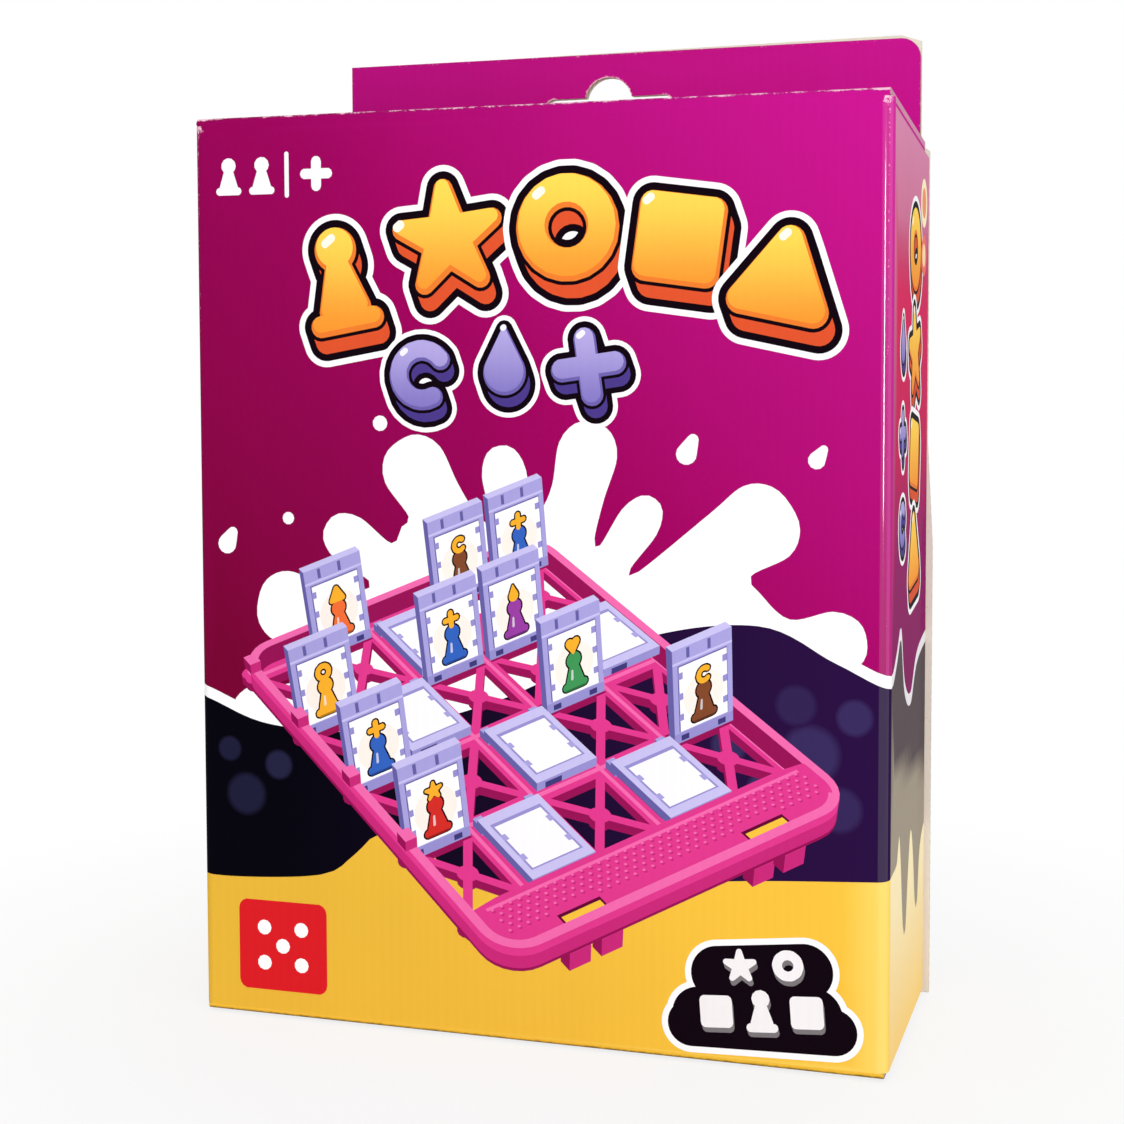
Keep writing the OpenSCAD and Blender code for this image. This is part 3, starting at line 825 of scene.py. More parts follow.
# Heights of the band boundaries along the wrap, left side round to right side, as (u, z)
NIGHT_LINE = [(-150, 92), (-134, 86), (-112, 66), (-96, 74), (-78, 72), (-60, 66), (-34, 66), (-6, 74),
              (24, 88), (50, 92), (66, 85), (78, 80), (86, 84), (92, 88), (98, 76), (108, 72), (120, 80),
              (150, 84)]
BASE_LINE = [(-150, 40), (-128, 44), (-104, 34), (-84, 32), (-70, 31), (-48, 33), (-40, 38), (-34, 43),
             (-24, 42), (-18, 36), (-6, 34), (20, 36), (48, 39), (78, 41), (88, 42), (91, 47), (94, 40),
             (98, 26), (102, 24), (106, 36), (110, 44), (114, 38), (118, 26), (122, 25), (128, 38), (150, 44)]


def under(line, low, high, rise=0.0):
    """The area under a line between two places along the wrap, raised by rise."""
    kept = [(u, z + rise) for u, z in line if low < u < high]

    def height(u):
        for (a, p), (b, q) in zip(line, line[1:]):
            if a <= u <= b:
                return p + (q - p) * (u - a) / (b - a) + rise
        return line[-1][1] + rise

    return [(low, height(low))] + kept + [(high, height(high)), (high, -PAST), (low, -PAST)]


# The pale rim over the dark band, the painted reflection that pales the bands on the right side, and the
# painted highlight on the base by the right front crease
RIM_RISE, SIDE_RIM = 2.6, shade(236, 232, 236)
SIDE_NIGHT_FOOT, SIDE_NIGHT_TOP = shade(163, 152, 134), shade(88, 76, 80)
SIDE_BASE_FOOT, SIDE_BASE_TOP = shade(255, 216, 126), shade(255, 240, 192)
FOLD_SHINE = shade(255, 228, 120)


def paint_bands(sheet, inks):
    """The splash, the dark band with its soft lights, and the base along the foot."""
    white, night, dusk, sand = tuple(inks.splash), tuple(inks.night), tuple(inks.dusk), tuple(inks.sand)
    sheet.paint(splash_line(), white)
    for spot in DROPLETS:
        sheet.paint(blob(spot), white)
    night_line, base_line = smooth_through(NIGHT_LINE), smooth_through(BASE_LINE)

    # Painted light: the dark band grows lighter from left to right, where more light falls
    def night_ink_and_light(u, z):
        return between(night, dusk, ease((u + 60) / 150))

    # Painted reflection: on the right side the dark band turns grey, paler towards its foot
    def side_night(u, z):
        if u < 0:
            return night
        return between(SIDE_NIGHT_FOOT, SIDE_NIGHT_TOP, ease((z - 61 + 0.18 * (u - CORNER)) / 5))

    # Painted light: the base darkens towards the left and lightens towards the right, and takes a painted
    # highlight by the right front crease. It also darkens towards the foot.
    def base_ink_and_light(u, z):
        level = 0.86 + 0.16 * ease((u + 70) / 150)
        plain = between(scaled(sand, level), scaled(sand, 0.92), (26 - z) / 80)
        return between(plain, FOLD_SHINE, 0.6 * ease((u - FLAT_HALF + 8) / 10))

    # Painted reflection: on the right side the base pales towards its top
    def side_base(u, z):
        return base_ink_and_light(u, z) if u < 0 else between(SIDE_BASE_FOOT, SIDE_BASE_TOP, z / 34)

    def band(line, rise, front, beside):
        ends = (-WRAP_REACH, -CORNER, CORNER, WRAP_REACH)
        for low, high, ink in zip(ends, ends[1:], (beside, front, beside)):
            sheet.paint(under(line, low, high, rise), ink)

    band(night_line, RIM_RISE, white, SIDE_RIM)
    band(night_line, 0, night_ink_and_light, side_night)
    paint_lights(sheet, night_ink_and_light)
    band(base_line, 0, base_ink_and_light, side_base)


# Faint lights in the dark band, as place, radius and strength
LIGHTS = [(61, 66, 6.5, 0.05), (52, 58, 4.5, 0.06), (67, 55, 5, 0.04), (44, 67, 4, 0.05), (58, 76, 4.5, 0.03),
          (70, 74, 4, 0.05), (-66, 50, 5, 0.03), (-58, 57, 3.5, 0.04), (-70, 60, 3, 0.03)]
LIGHT_RINGS, RING_STEP, LIGHT_TONE = 4, 0.07, shade(120, 120, 200)


def paint_lights(sheet, night_ink_and_light):
    """Faint round lights in the dark band, soft at their edges."""
    for u, z, radius, glow in LIGHTS:
        for k in range(LIGHT_RINGS):
            tone = between(night_ink_and_light(u, z), LIGHT_TONE, glow * (k + 1) / 2)
            sheet.paint(blob([(u, z, radius * (1 - RING_STEP * k))]), tone)


class TrayPicture:
    """A drawing of the open tray with some frames up and some down, seen from above one corner.
    Its own sizes are the real tray's millimetres: u across, v from the players' end and h up."""
    HALF_W, LENGTH, RIM, WALL, STRIP = 67.0, 167.0, 9.5, 3.2, 21.0
    OUTER_R, INNER_R = 13, 10
    COLUMN, ROW, FLOOR, COLUMNS, ROWS = 26.8, 34.0, 2.0, 5, 4
    FIRST_ROW, HINGE_BACK = STRIP + 3, 2.5
    FRAME_HALF, FRAME_LONG, FRAME_THICK = 12.1, 31.0, 3.0
    # A folded frame's underside and top
    DOWN_LOW, DOWN_TOP = 3.6, 7.0
    # A raised frame's height and its lean, which is a share of it
    UP_TALL, UP_LEAN = 34.0, 0.13
    # The camera's angle over the table and its distance
    TILT = math.radians(40)
    DISTANCE = 640.0
    PINK = {"lit": shade(236, 104, 170), "top": shade(219, 56, 138), "face": shade(196, 40, 118),
            "dark": shade(146, 16, 82), "deep": shade(96, 6, 50)}
    LILAC = {"lit": shade(196, 190, 234), "top": shade(164, 158, 216), "face": shade(146, 140, 202),
             "dark": shade(98, 92, 158), "deep": shade(62, 56, 116)}
    HUES = (shade(206, 44, 38), shade(50, 96, 186), shade(244, 172, 44), shade(62, 146, 84),
            shade(148, 60, 158), shade(126, 70, 42), shade(236, 108, 52))
    TOPPERS = ("star", "peak", "moon", "drop", "heart", "ring", "cross")
    # Cells by row and column whose frame is folded down, and cells that show their floor
    DOWN = {(0, 1), (0, 3), (1, 2), (2, 1), (2, 4), (3, 2)}
    EMPTY = {(0, 2), (1, 1), (1, 4), (3, 0)}
    CARD_BACK = shade(246, 243, 248)

    def __init__(self, sheet, x, z, scale, spin, inks):
        self.sheet, self.x, self.z, self.scale = sheet, x, z, scale
        self.cos, self.sin = math.cos(math.radians(spin)), math.sin(math.radians(spin))
        self.near = -1 if spin > 0 else 1
        self.white, self.black, self.sand = tuple(inks.splash), tuple(inks.outline), tuple(inks.sand)

    def turned(self, u, v):
        """A place of the tray's plan, turned by the drawing's spin."""
        return u * self.cos - v * self.sin, u * self.sin + v * self.cos

    def flat(self, u, v, h):
        """Where a point of the tray lands on the print, with the nearer things a little larger."""
        x, y = self.turned(u, v - self.LENGTH / 2)
        rise = y * math.sin(self.TILT) + h * math.cos(self.TILT)
        away = y * math.cos(self.TILT) - h * math.sin(self.TILT)
        share = self.scale / (1 + away / self.DISTANCE)
        return round(self.x + share * x, 4), round(self.z + share * rise, 4)

    def face(self, ink, *corners):
        """Paints the face between some corners."""
        self.sheet.paint(hull([self.flat(*corner) for corner in corners]), ink)

    def flush(self, shape, h, ink):
        """Paints a flat shape of the tray's plan at height h."""
        self.sheet.paint(hull([self.flat(u, v, h) for u, v in shape]), ink)

    def box(self, low, high, tones, top="top"):
        """The three faces of a block that show."""
        (u0, v0, h0), (u1, v1, h1) = low, high
        side = u0 if self.near < 0 else u1
        self.face(tones["dark"], (side, v0, h0), (side, v1, h0), (side, v1, h1), (side, v0, h1))
        self.face(tones["face"], (u0, v0, h0), (u1, v0, h0), (u1, v0, h1), (u0, v0, h1))
        self.face(tones[top], (u0, v0, h1), (u1, v0, h1), (u1, v1, h1), (u0, v1, h1))

    def paint(self):
        """The whole drawing, the far parts first."""
        rim, outer, inner = self.RIM, self.ring(0, self.OUTER_R), self.ring(self.WALL, self.INNER_R)
        pieces = list(zip(outer, outer[1:] + outer[:1], inner, inner[1:] + inner[:1]))
        near = [piece for piece in pieces if self.towards_us(*piece[:2])]
        far = [piece for piece in pieces if not self.towards_us(*piece[:2])]
        self.floor()
        for a, b, c, d in far:
            self.face(self.PINK["dark"], (*c, self.FLOOR), (*d, self.FLOOR), (*c, rim), (*d, rim))
            self.face(self.PINK["lit"], (*a, rim), (*b, rim), (*c, rim), (*d, rim))
        self.frames()
        for u in (-41, -29, 29, 41):
            self.box((u - 4, -2.4, -4), (u + 4, 2, 3), self.PINK)
        for a, b, _, _ in near:
            for low, high, tone in ((0, rim, "dark"), (1.2, rim, "face"), (rim - 3.2, rim, "top")):
                self.face(self.PINK[tone], (*a, low), (*b, low), (*a, high), (*b, high))
        self.strip()
        for a, b, c, d in near:
            self.face(self.PINK["lit"], (*a, rim), (*b, rim), (*c, rim), (*d, rim))
        for v in self.hinges():
            side = self.near * (self.HALF_W - 1.6)
            self.box((side - 2.2, v - 2.5, rim - 1), (side + 2.2, v + 2.5, rim + 3), self.PINK, "lit")

    def ring(self, inset, radius, count=7):
        """The tray's round cornered outline in plan, inset from its edge."""
        spots = []
        for side, end, start in ((1, 0, -90), (1, 1, 0), (-1, 1, 90), (-1, 0, 180)):
            u = side * (self.HALF_W - inset - radius)
            v = self.LENGTH - inset - radius if end else inset + radius
            for k in range(count + 1):
                a = math.radians(start + 90 * k / count)
                spots.append((u + radius * math.cos(a), v + radius * math.sin(a)))
        return spots

    def towards_us(self, a, b):
        """Whether the rim's outer side between two places of its outline faces the viewer."""
        return self.turned(b[1] - a[1], a[0] - b[0])[1] < 0

    def hinges(self):
        """How far along the tray its hinge lines lie."""
        return [self.FIRST_ROW + self.ROW * (k + 1) - self.HINGE_BACK for k in range(self.ROWS)]

    def floor(self):
        """Ribs between the cells, with crossed struts in each."""
        edge, end = self.HALF_W - 3, self.LENGTH - 4
        half = self.HALF_W - 2.5
        columns = [max(-edge, min(edge, (k - 2.5) * self.COLUMN)) for k in range(self.COLUMNS + 1)]
        rows = [self.FIRST_ROW + self.ROW * k for k in range(self.ROWS + 1)]
        bars = [[(u, self.STRIP, 2.4), (u, self.LENGTH - 3, 2.4)] for u in columns]
        bars += [[(-half, v, 3.0), (half, v, 3.0)] for v in (*rows, end)]
        for a, b in zip(columns, columns[1:]):
            for c, d in zip(rows, rows[1:]):
                bars += [[(a, c, 1.5), (b, d, 1.5)], [(a, d, 1.5), (b, c, 1.5)],
                         [((a + b) / 2, (c + d) / 2, 3.6)]]
        shapes = [blob(bar, step=1.5) for bar in bars]
        for shape in shapes:
            sunk = [self.flat(u, v, h) for h in (-1.5, self.FLOOR) for u, v in shape]
            self.sheet.paint(hull(sunk), self.PINK["dark"])
        for shape in shapes:
            self.flush(shape, self.FLOOR, self.PINK["top"])
        for bar in bars[:len(columns) + len(rows)]:
            shine = blob([(u, v + 0.3, r * 0.3) for u, v, r in bar], step=1.5)
            self.flush(shine, self.FLOOR, self.PINK["lit"])

    def frames(self):
        """Every frame in its cell, the far ones first."""
        spots = []
        for row, v in enumerate(self.hinges()):
            for column in range(self.COLUMNS):
                number = row * self.COLUMNS + column
                kind = number * 3 % len(self.HUES), number * 4 % len(self.TOPPERS)
                if (row, column) not in self.EMPTY:
                    u = (column - 2) * self.COLUMN
                    spots.append((self.turned(u, v)[1], u, v, (row, column) in self.DOWN, kind))
        for _, u, v, down, kind in sorted(spots, reverse=True):
            if down:
                self.frame_down(u, v)
            else:
                self.frame_up(u, v, *kind)

    def frame_down(self, u, v):
        """A frame folded down, with the back of its card up."""
        w, end, low, top = self.FRAME_HALF, v - self.FRAME_LONG, self.DOWN_LOW, self.DOWN_TOP
        for side in (-1, 1):
            lug = u + side * (w - 2)
            self.box((lug - 1.6, v - 3, self.FLOOR), (lug + 1.6, v + 2, 5), self.LILAC)
        self.box((u - w, end, low), (u + w, v - 1, top), self.LILAC, "lit")
        self.face(self.LILAC["deep"], (u - w + 3.4, end, low), (u - 2, end, low), (u - 2, end, 6),
                  (u - w + 3.4, end, 6))
        self.flush(bar(u - w + 2.2, end + 3.4, u + w - 2.2, v - 5), top, self.LILAC["face"])
        self.flush(bar(u - w + 3, end + 4, u + w - 3, v - 6.4), top, self.CARD_BACK)
        for side in (-1, 1):
            for along in (0.3, 0.62):
                a, b = u + side * (w - 3.2), end + self.FRAME_LONG * along
                self.flush(bar(a - 1, b - 1.3, a + 1, b + 1.3), top, self.LILAC["top"])

    def frame_up(self, u, v, hue, topper):
        """A frame that stands on its hinge, with a playing piece on its card."""
        w, tall, thick, tones = self.FRAME_HALF, self.UP_TALL, self.FRAME_THICK, self.LILAC

        def spot(a, h, back=0.0):
            return self.flat(u + a, v - 1 + self.UP_LEAN * h + back, self.FLOOR + h)

        def panel(ink, a0, h0, a1, h1):
            self.sheet.paint(hull([spot(a, h) for a, h in bar(a0, h0, a1, h1)]), ink)

        def drawn(discs, ink, grow=0.0):
            self.sheet.paint([spot(a, h) for a, h in blob(discs, grow, step=1.1)], ink)

        self.flush(bar(u - w, v - 2, u + w, v + 4.5), self.FLOOR, self.PINK["dark"])
        side = self.near * w
        self.sheet.paint(hull([spot(side, h, back) for h in (0, tall) for back in (0, thick)]), tones["dark"])
        self.sheet.paint(hull([spot(a, tall, back) for a in (-w, w) for back in (0, thick)]), tones["lit"])
        # The grip, the frame's face, its foot, a line and two slots under its head, and two lugs
        for ink, *corners in (("lit", -5.5, tall - 1, 4.5, tall + 1.8), ("top", -w, 0, w, tall),
                              ("face", -w, 0, w, 3.6), ("lit", -w, tall - 5.4, w, tall - 4.6),
                              ("dark", -6.4, tall - 4.2, -6.4 + 1.3, tall - 0.6),
                              ("dark", 2.2, tall - 4.2, 2.2 + 1.3, tall - 0.6),
                              ("deep", -9.4, 0.6, -9.4 + 3.2, 2.6), ("deep", 5.8, 0.6, 5.8 + 3.2, 2.6),
                              ("dark", -w + 2.0, 4.0, w - 2.0, tall - 6.0)):
            panel(tones[ink], *corners)
        panel(self.white, -w + 2.5, 4.0, w - 2.2, tall - 6.5)
        for a in (-w + 2.2, w - 4.0):
            for h in (8.0, 15.6, 23.0):
                panel(tones["face"], a, h, a + 1.8, h + 2.4)
        ink, other = self.HUES[hue], self.HUES[(hue + 2 + topper) % len(self.HUES)]
        pieces = (("pawn", 12.4, 7.4, ink), (self.TOPPERS[topper], 21.4, 3.6, other))
        drawn([(0.2, 14.6, 8.2)], between(other, self.white, 0.8))
        for grow in (0.6, 0):
            for token, at, size, tone in pieces:
                for part in laid(TOKENS[token], 0.2, at, size):
                    drawn(part, self.black if grow else tone, grow)
        drawn([(-0.9, 9.4, 0.5), (-0.7, 12.4, 0.4)], between(ink, self.white, 0.5))
        drawn([(-3.6, 5.6, 0.4), (3.8, 5.6, 0.4)], between(ink, self.black, 0.5))

    # The dots on the strip, as rows, dots in a row, first place and pitches across and along
    DOT_ROWS, DOTS, DOT_U, DOT_V, DOT_PITCH, DOT_ROW = 5, 36, -59, 8.6, 3.35, 2.3

    def strip(self):
        """The broad strip at the tray's foot with its dots and two openings."""
        end, rim = self.STRIP, self.RIM
        half = self.HALF_W - self.WALL + 0.5
        self.flush(blob([(-half + 10, 12, 10), (half - 10, 12, 10), (half - 1, end - 1, 1),
                         (1 - half, end - 1, 1)]), rim, self.PINK["top"])
        self.flush(bar(-half + 4, end - 2.6, half - 4, end - 1.4), rim, self.PINK["lit"])
        for row in range(self.DOT_ROWS):
            for k in range(self.DOTS):
                u = self.DOT_U + self.DOT_PITCH * k + (1.7 if row % 2 else 0)
                v = self.DOT_V + self.DOT_ROW * row
                beside_opening = row > 0 or not 27 < abs(u) < 43
                if abs(u) < 60 and beside_opening:
                    self.flush(blob([(u + 0.25, v - 0.4, 0.62)], step=0.9), rim, self.PINK["face"])
                    self.flush(blob([(u, v, 0.52)], step=0.9), rim + 0.4, self.PINK["lit"])
        for u in (-35, 35):
            self.flush(bar(u - 8, 2.2, u + 8, 6.8), rim, self.PINK["deep"])
            self.flush(bar(u - 7.2, 2.2, u + 7.2, 5.6), rim, self.sand)


# Tokens on the front, as name, x, z, size and tilt
FRONT_ROW = [("pawn", -42, 164, 12.5, 10), ("star", -17, 172, 13.5, 6), ("ring", 9.5, 174, 12.5, 0),
             ("block", 33.5, 171, 11.5, -8), ("peak", 55, 163, 11.5, -12)]
FRONT_SMALL_ROW = [("moon", -24, 143.5, 8.6, -12), ("drop", -4.5, 146, 8.4, 0), ("cross", 14, 145, 8.8, 8)]
# The red label's dots, and the dark label's shape and tokens
LABEL_DOTS = [(-62, 12), (-53, 12), (-57.5, 16), (-62, 20), (-53, 20)]
DARK_LABEL = [[(38, 10, 4), (62, 12, 4)], [(42, 19, 4), (60, 21, 4)], [(36, 8, 3), (66, 9, 3)]]
LABEL_TOKENS = [("block", 41.5, 11, 4.2), ("pawn", 51, 12, 4.8), ("block", 60.5, 12.5, 4.2),
                ("star", 46.5, 21, 3.8), ("ring", 56.5, 22, 3.6)]
LABEL_TILT, LABEL_DROP, LABEL_SHADOW, LABEL_PALE = 4, (0.3, -1.0), shade(120, 116, 118), shade(240, 238, 238)


def paint_front(sheet, inks):
    """Tokens, marks, the tray's picture and the two labels on the front."""
    white, black = tuple(inks.splash), tuple(inks.outline)
    warm, cool = token_tones(inks)
    TrayPicture(sheet, -1.0, 65.0, 0.665, 36, inks).paint()
    sheet.tokens(FRONT_ROW, warm, FRONT_LARGE)
    sheet.tokens(FRONT_SMALL_ROW, cool, FRONT_SMALL)
    for x in (-68.5, -60.5):
        sheet.stamp("pawn", x, 187, 4.4, white)
    sheet.paint(blob([(-54.5, 182.5, 0.5), (-54.5, 191.5, 0.5)]), white)
    sheet.stamp("cross", -47.5, 187, 4.0, white)
    sheet.paint(rounded(-66, 8, -49, 24, 2.2), tuple(inks.signal))
    for x, z in LABEL_DOTS:
        sheet.paint(blob([(x, z, 1.7)]), white)
    for grow, ink in ((3.2, white), (1.9, black)):
        for part in DARK_LABEL:
            sheet.paint(blob(part, grow), ink)
    for place in LABEL_TOKENS:
        sheet.stamp(*place, LABEL_SHADOW, LABEL_TILT, drop=LABEL_DROP)
        sheet.stamp(*place, LABEL_PALE, LABEL_TILT)


# Tokens on the sides, as name, z, size and tilt, and round spots, as z, radius and ink
SIDE_ROW = [("ring", 170, 10, 0), ("star", 148, 10.5, 10), ("block", 126, 9, -8), ("peak", 105, 9.5, 6)]
SIDE_SMALL_ROW = [("drop", 150, 5.6, 0), ("cross", 131, 5.4, 0), ("moon", 112, 5.6, 0)]
SIDE_SPOTS = [(181, 5.4, shade(252, 240, 196)), (181, 3.4, shade(240, 150, 110)),
              (169.5, 4.6, shade(240, 120, 104)), (169.5, 2.6, shade(252, 226, 170))]
# How far behind the front crease the small tokens, the large ones and the spots stand
SMALL_RUN, LARGE_RUN, SPOT_RUN = 14, 33, 47


def paint_sides(sheet, inks):
    """Upright rows of tokens on the two sides."""
    warm, cool = token_tones(inks)
    for side in (-1, 1):
        for name, *place in SIDE_ROW:
            sheet.token(name, side * (CORNER + LARGE_RUN), *place, warm, LARGE)
        for name, *place in SIDE_SMALL_ROW:
            sheet.token(name, side * (CORNER + SMALL_RUN), *place, cool, SIDE_SMALL)
        for z, radius, tone in SIDE_SPOTS:
            sheet.paint(blob([(side * (CORNER + SPOT_RUN), z, radius)]), tone)


# Wear on the wrap: the creases' width and the height where it grows, the top corners' middle and reach,
# and the foot's height
BEND_WIDE, WORN_FROM, WORN_OVER = 1.5, 168, 28
WORN_CORNER, CORNER_REACH, FOOT_TALL = (FLAT_HALF + 1, 198.5), 3, 1.5


def wrap_scuff(u, z):
    """How worn the wrap is: at the top corners, along the foot and down the upright creases."""
    bend = max(0.0, 1 - abs(abs(u) - FLAT_HALF - ARC * INK_TURN) / BEND_WIDE)
    down = ease((z - WORN_FROM) / WORN_OVER)
    aside, below = abs(u) - WORN_CORNER[0], z - WORN_CORNER[1]
    corner = max(0.0, 1 - math.hypot(0.8 * aside, below * 0.6) / CORNER_REACH)
    foot = max(0.0, 1 - (z - BOARD) / FOOT_TALL)
    return max(bend * (0.3 + 0.16 * down), 0.7 * corner, 0.36 * foot)


# How far a face's normal points along an axis when it counts as facing that way, or as slanted to it
FACING, SLANTED = 0.5, 0.3
# The cut edges' pale pink, partly worn board and partly a painted highlight that lightens the shaded gaps
# along the top edges, and the height in metres up to which the floor flap's edge is darkened by wear and
# painted shade
RUBBED_AND_LIT_PINK, FOOT_WEAR_AND_SHADE = shade(214, 150, 178), 0.0007


class FLIPGAME_OT_board(Operator):
    """Gives the carton's board its printed, unprinted and cut faces"""
    bl_idname = "flipgame.board"
    bl_label = "Carton board"

    def execute(self, context):
        scene = context.scene
        inks, finish, tones = scene.flip_print, scene.flip_board, scene.flip_moulded
        faces = {
            "print": laminate("laminate_magenta", finish, tuple(inks.field_middle)),
            "inside": liner("board_inside", tuple(tones.liner)),
            "edge": cut_edge("board_edge", tuple(tones.liner), finish),
        }
        # Cut edges in pale pink: worn board with a painted highlight that lightens the shaded gaps
        worn_and_lit = dict(faces, edge=cut_edge("rubbed_lit_edge", RUBBED_AND_LIT_PINK, finish))
        sunny = dict(faces, print=laminate("laminate_base", finish, tuple(inks.sand), FOOT_WEAR_AND_SHADE))

        def outside_front(normal, centre):
            return "print" if normal.y < -FACING else "inside" if normal.y > FACING else "edge"

        def outside_side(normal, centre):
            if abs(normal.z) > FACING:
                return "edge"
            outward = normal.x * math.copysign(1, centre.x)
            round_crease = normal.y < -SLANTED and abs(centre.x) > HALF - CREASE_R
            return "print" if outward > SLANTED or round_crease else "inside"

        def outside_dust(normal, centre):
            if abs(normal.z) > 0.8:
                return "inside"
            return "print" if abs(normal.x) > SLANTED and abs(centre.x) > HALF - 2 else "edge"

        paint_by_side("front_panel", faces, outside_front)
        paint_by_side("left_side_panel", worn_and_lit, outside_side)
        paint_by_side("right_side_panel", worn_and_lit, outside_side)
        paint_by_side("back_panel", faces, outside_front)
        paint_by_side("seam_flap", faces, lambda n, c: (
            "edge" if abs(n.z) > FACING or abs(n.y) > FACING else "inside"))
        paint_by_side("bottom_flap", sunny, lambda n, c: (
            "edge" if abs(n.x) > FACING else "inside" if n.z > FACING else "print"))
        paint_by_side("bottom_dust_flaps", faces, lambda n, c: "inside" if abs(n.z) > FACING else "edge")
        paint_by_side("lid", worn_and_lit, lambda n, c: (
            "print" if n.z > SLANTED or n.y < -SLANTED else "inside" if n.z < -FACING else "edge"))
        paint_by_side("lid_tuck", faces, lambda n, c: (
            "print" if n.y > FACING else "inside" if n.y < -FACING else "edge"))
        for node in ("left_dust_flap", "right_dust_flap"):
            paint_by_side(node, worn_and_lit, outside_dust)
        card = {"face": liner("rear_card_grey", tuple(tones.rear), 0.06),
                "edge": cut_edge("rear_card_edge", scaled(tones.rear, 0.9), finish)}
        paint_by_side("rear_card", card, lambda n, c: "face" if abs(n.y) > FACING else "edge")
        return {"FINISHED"}


class FLIPGAME_OT_wrap_print(Operator):
    """Prints the front and both sides as one sheet folded round the board"""
    bl_idname = "flipgame.wrap_print"
    bl_label = "Wrap print"

    def execute(self, context):
        inks, finish = context.scene.flip_print, context.scene.flip_board
        sheet = Sheet(wrap_outline(), finish.grid / MM)
        for k in range(BEND_LINES + 1):
            for side in (-1, 1):
                u = side * (FLAT_HALF + ARC * k / BEND_LINES)
                sheet.crease((u, 0), (u, BEND_TOP))
        for side in (-1, 1):
            for u in (CORNER + SIDE_RUN, CORNER + SIDE_RUN + 1):
                sheet.crease((side * u, 0), (side * u, REAR_BEND_TOP))
            near = side * (FLAT_HALF - POST_IN)
            sheet.crease((near, POST_LINES[-1]), (near, POST_TOP))
            for z in POST_LINES:
                sheet.crease((near, z), (side * CORNER, z))
        # The print's magenta with its painted light fade, brighter towards the upper right
        fade = field_colour_and_light(inks)
        sheet.paint(bar(-WRAP_REACH, -PAST, WRAP_REACH, WRAP_TOP), fade)

        # Painted highlight: the right crease's print is lightened a little towards pink; the left crease
        # keeps the field's ink
        def fold_ink_and_highlight(u, z):
            return between(fade(HALF, z), FOLD_HIGHLIGHT_PINK, 0.1) if u > 0 else fade(-HALF, z)

        # The right side takes the field with its painted reflection; the left side a mix of the front's fade
        def side_ink_and_reflection(u, z):
            return side_colour_and_reflection(z) if u > 0 else between(fade(-HALF, z), fade(0, z), 0.5)

        for side in (-1, 1):
            u0, u1 = sorted((side * (FLAT_HALF + INK_TURN * ARC), side * CORNER))
            sheet.paint(bar(u0, -PAST, u1, WRAP_TOP), fold_ink_and_highlight)
            u0, u1 = sorted((side * CORNER, side * WRAP_REACH))
            sheet.paint(bar(u0, -PAST, u1, WRAP_TOP), side_ink_and_reflection)
        paint_bands(sheet, inks)
        paint_front(sheet, inks)
        paint_sides(sheet, inks)
        wrap = sheet.build("wrap_print", wrap_place(finish.lift / MM), wrap_scuff,
                           lambda u, z: FLAT_HALF - 0.01 < u < FLAT_HALF + GLOSS_TURN * ARC)
        wrap.data.materials.append(laminate("laminate_print", finish))
        wrap.data.materials.append(laminate("laminate_fold", finish, coat=0.9))
        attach(wrap, "carton")
        return {"FINISHED"}


def slot_parts():
    """The hanging slot and the bump over its middle, as discs."""
    z = SLOT_TOP - SLOT_RADIUS
    return [[(SLOT_X - SLOT_REACH, z, SLOT_RADIUS), (SLOT_X + SLOT_REACH, z, SLOT_RADIUS)],
            [(SLOT_X, SLOT_TOP - BUMP_DROP, BUMP_RADIUS)]]


def slot_shape():
    """The hanging slot's outlines, a hair wider than the board's."""
    return [blob(part, 0.04) for part in slot_parts()]


class FLIPGAME_OT_header_print(Operator):
    """Prints the header over the carton's back, round its hanging slot"""
    bl_idname = "flipgame.header_print"
    bl_label = "Header print"

    def execute(self, context):
        inks, finish = context.scene.flip_print, context.scene.flip_board
        board = frame["nodes"]["back_panel"].data
        across = [v.co.x / MM for v in board.vertices if v.co.z / MM > CREASE_Z]
        left, right, top, radius = min(across), max(across), BACK_HIGH.z, HEADER_RADIUS
        foot = REAR_CREASE_Z + 0.4
        outline = [(left, foot), (right, foot), (right, top - radius)]
        outline += [(right - radius + radius * math.cos(math.radians(a)),
                     top - radius + radius * math.sin(math.radians(a))) for a in range(0, 91, 10)][1:]
        outline += [(left, top)]
        sheet = Sheet(outline, finish.grid / MM)
        fade = field_colour_and_light(inks)

        # The header's field takes the same painted light fade, shifted and spread across
        def header_ink_and_light(x, z):
            return fade(x * 0.5 + 40, z)

        sheet.paint(bar(left - PAST, foot - PAST, right + PAST, top + PAST), header_ink_and_light)
        for part in slot_parts():
            sheet.paint(blob(part, 0.9), header_ink_and_light)
        slot = slot_shape()
        for shape in slot:
            sheet.cut(shape)
        lift = finish.lift / MM

        def place(x, z):
            return Vector((x, BACK_Y - lift, z)), Vector((0, -1, 0))

        def scuff(x, z):
            edge = min(x - left, right - x, top - z)
            rim = min(math.dist((x, z), spot) for shape in slot for spot in shape)
            return max(0.4 * max(0.0, 1 - edge / 0.8), 0.62 * max(0.0, 1 - rim / 1.1))

        header = sheet.build("header_print", place, scuff)
        header.data.materials.append(bpy.data.materials["laminate_print"])
        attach(header, "carton")
        return {"FINISHED"}


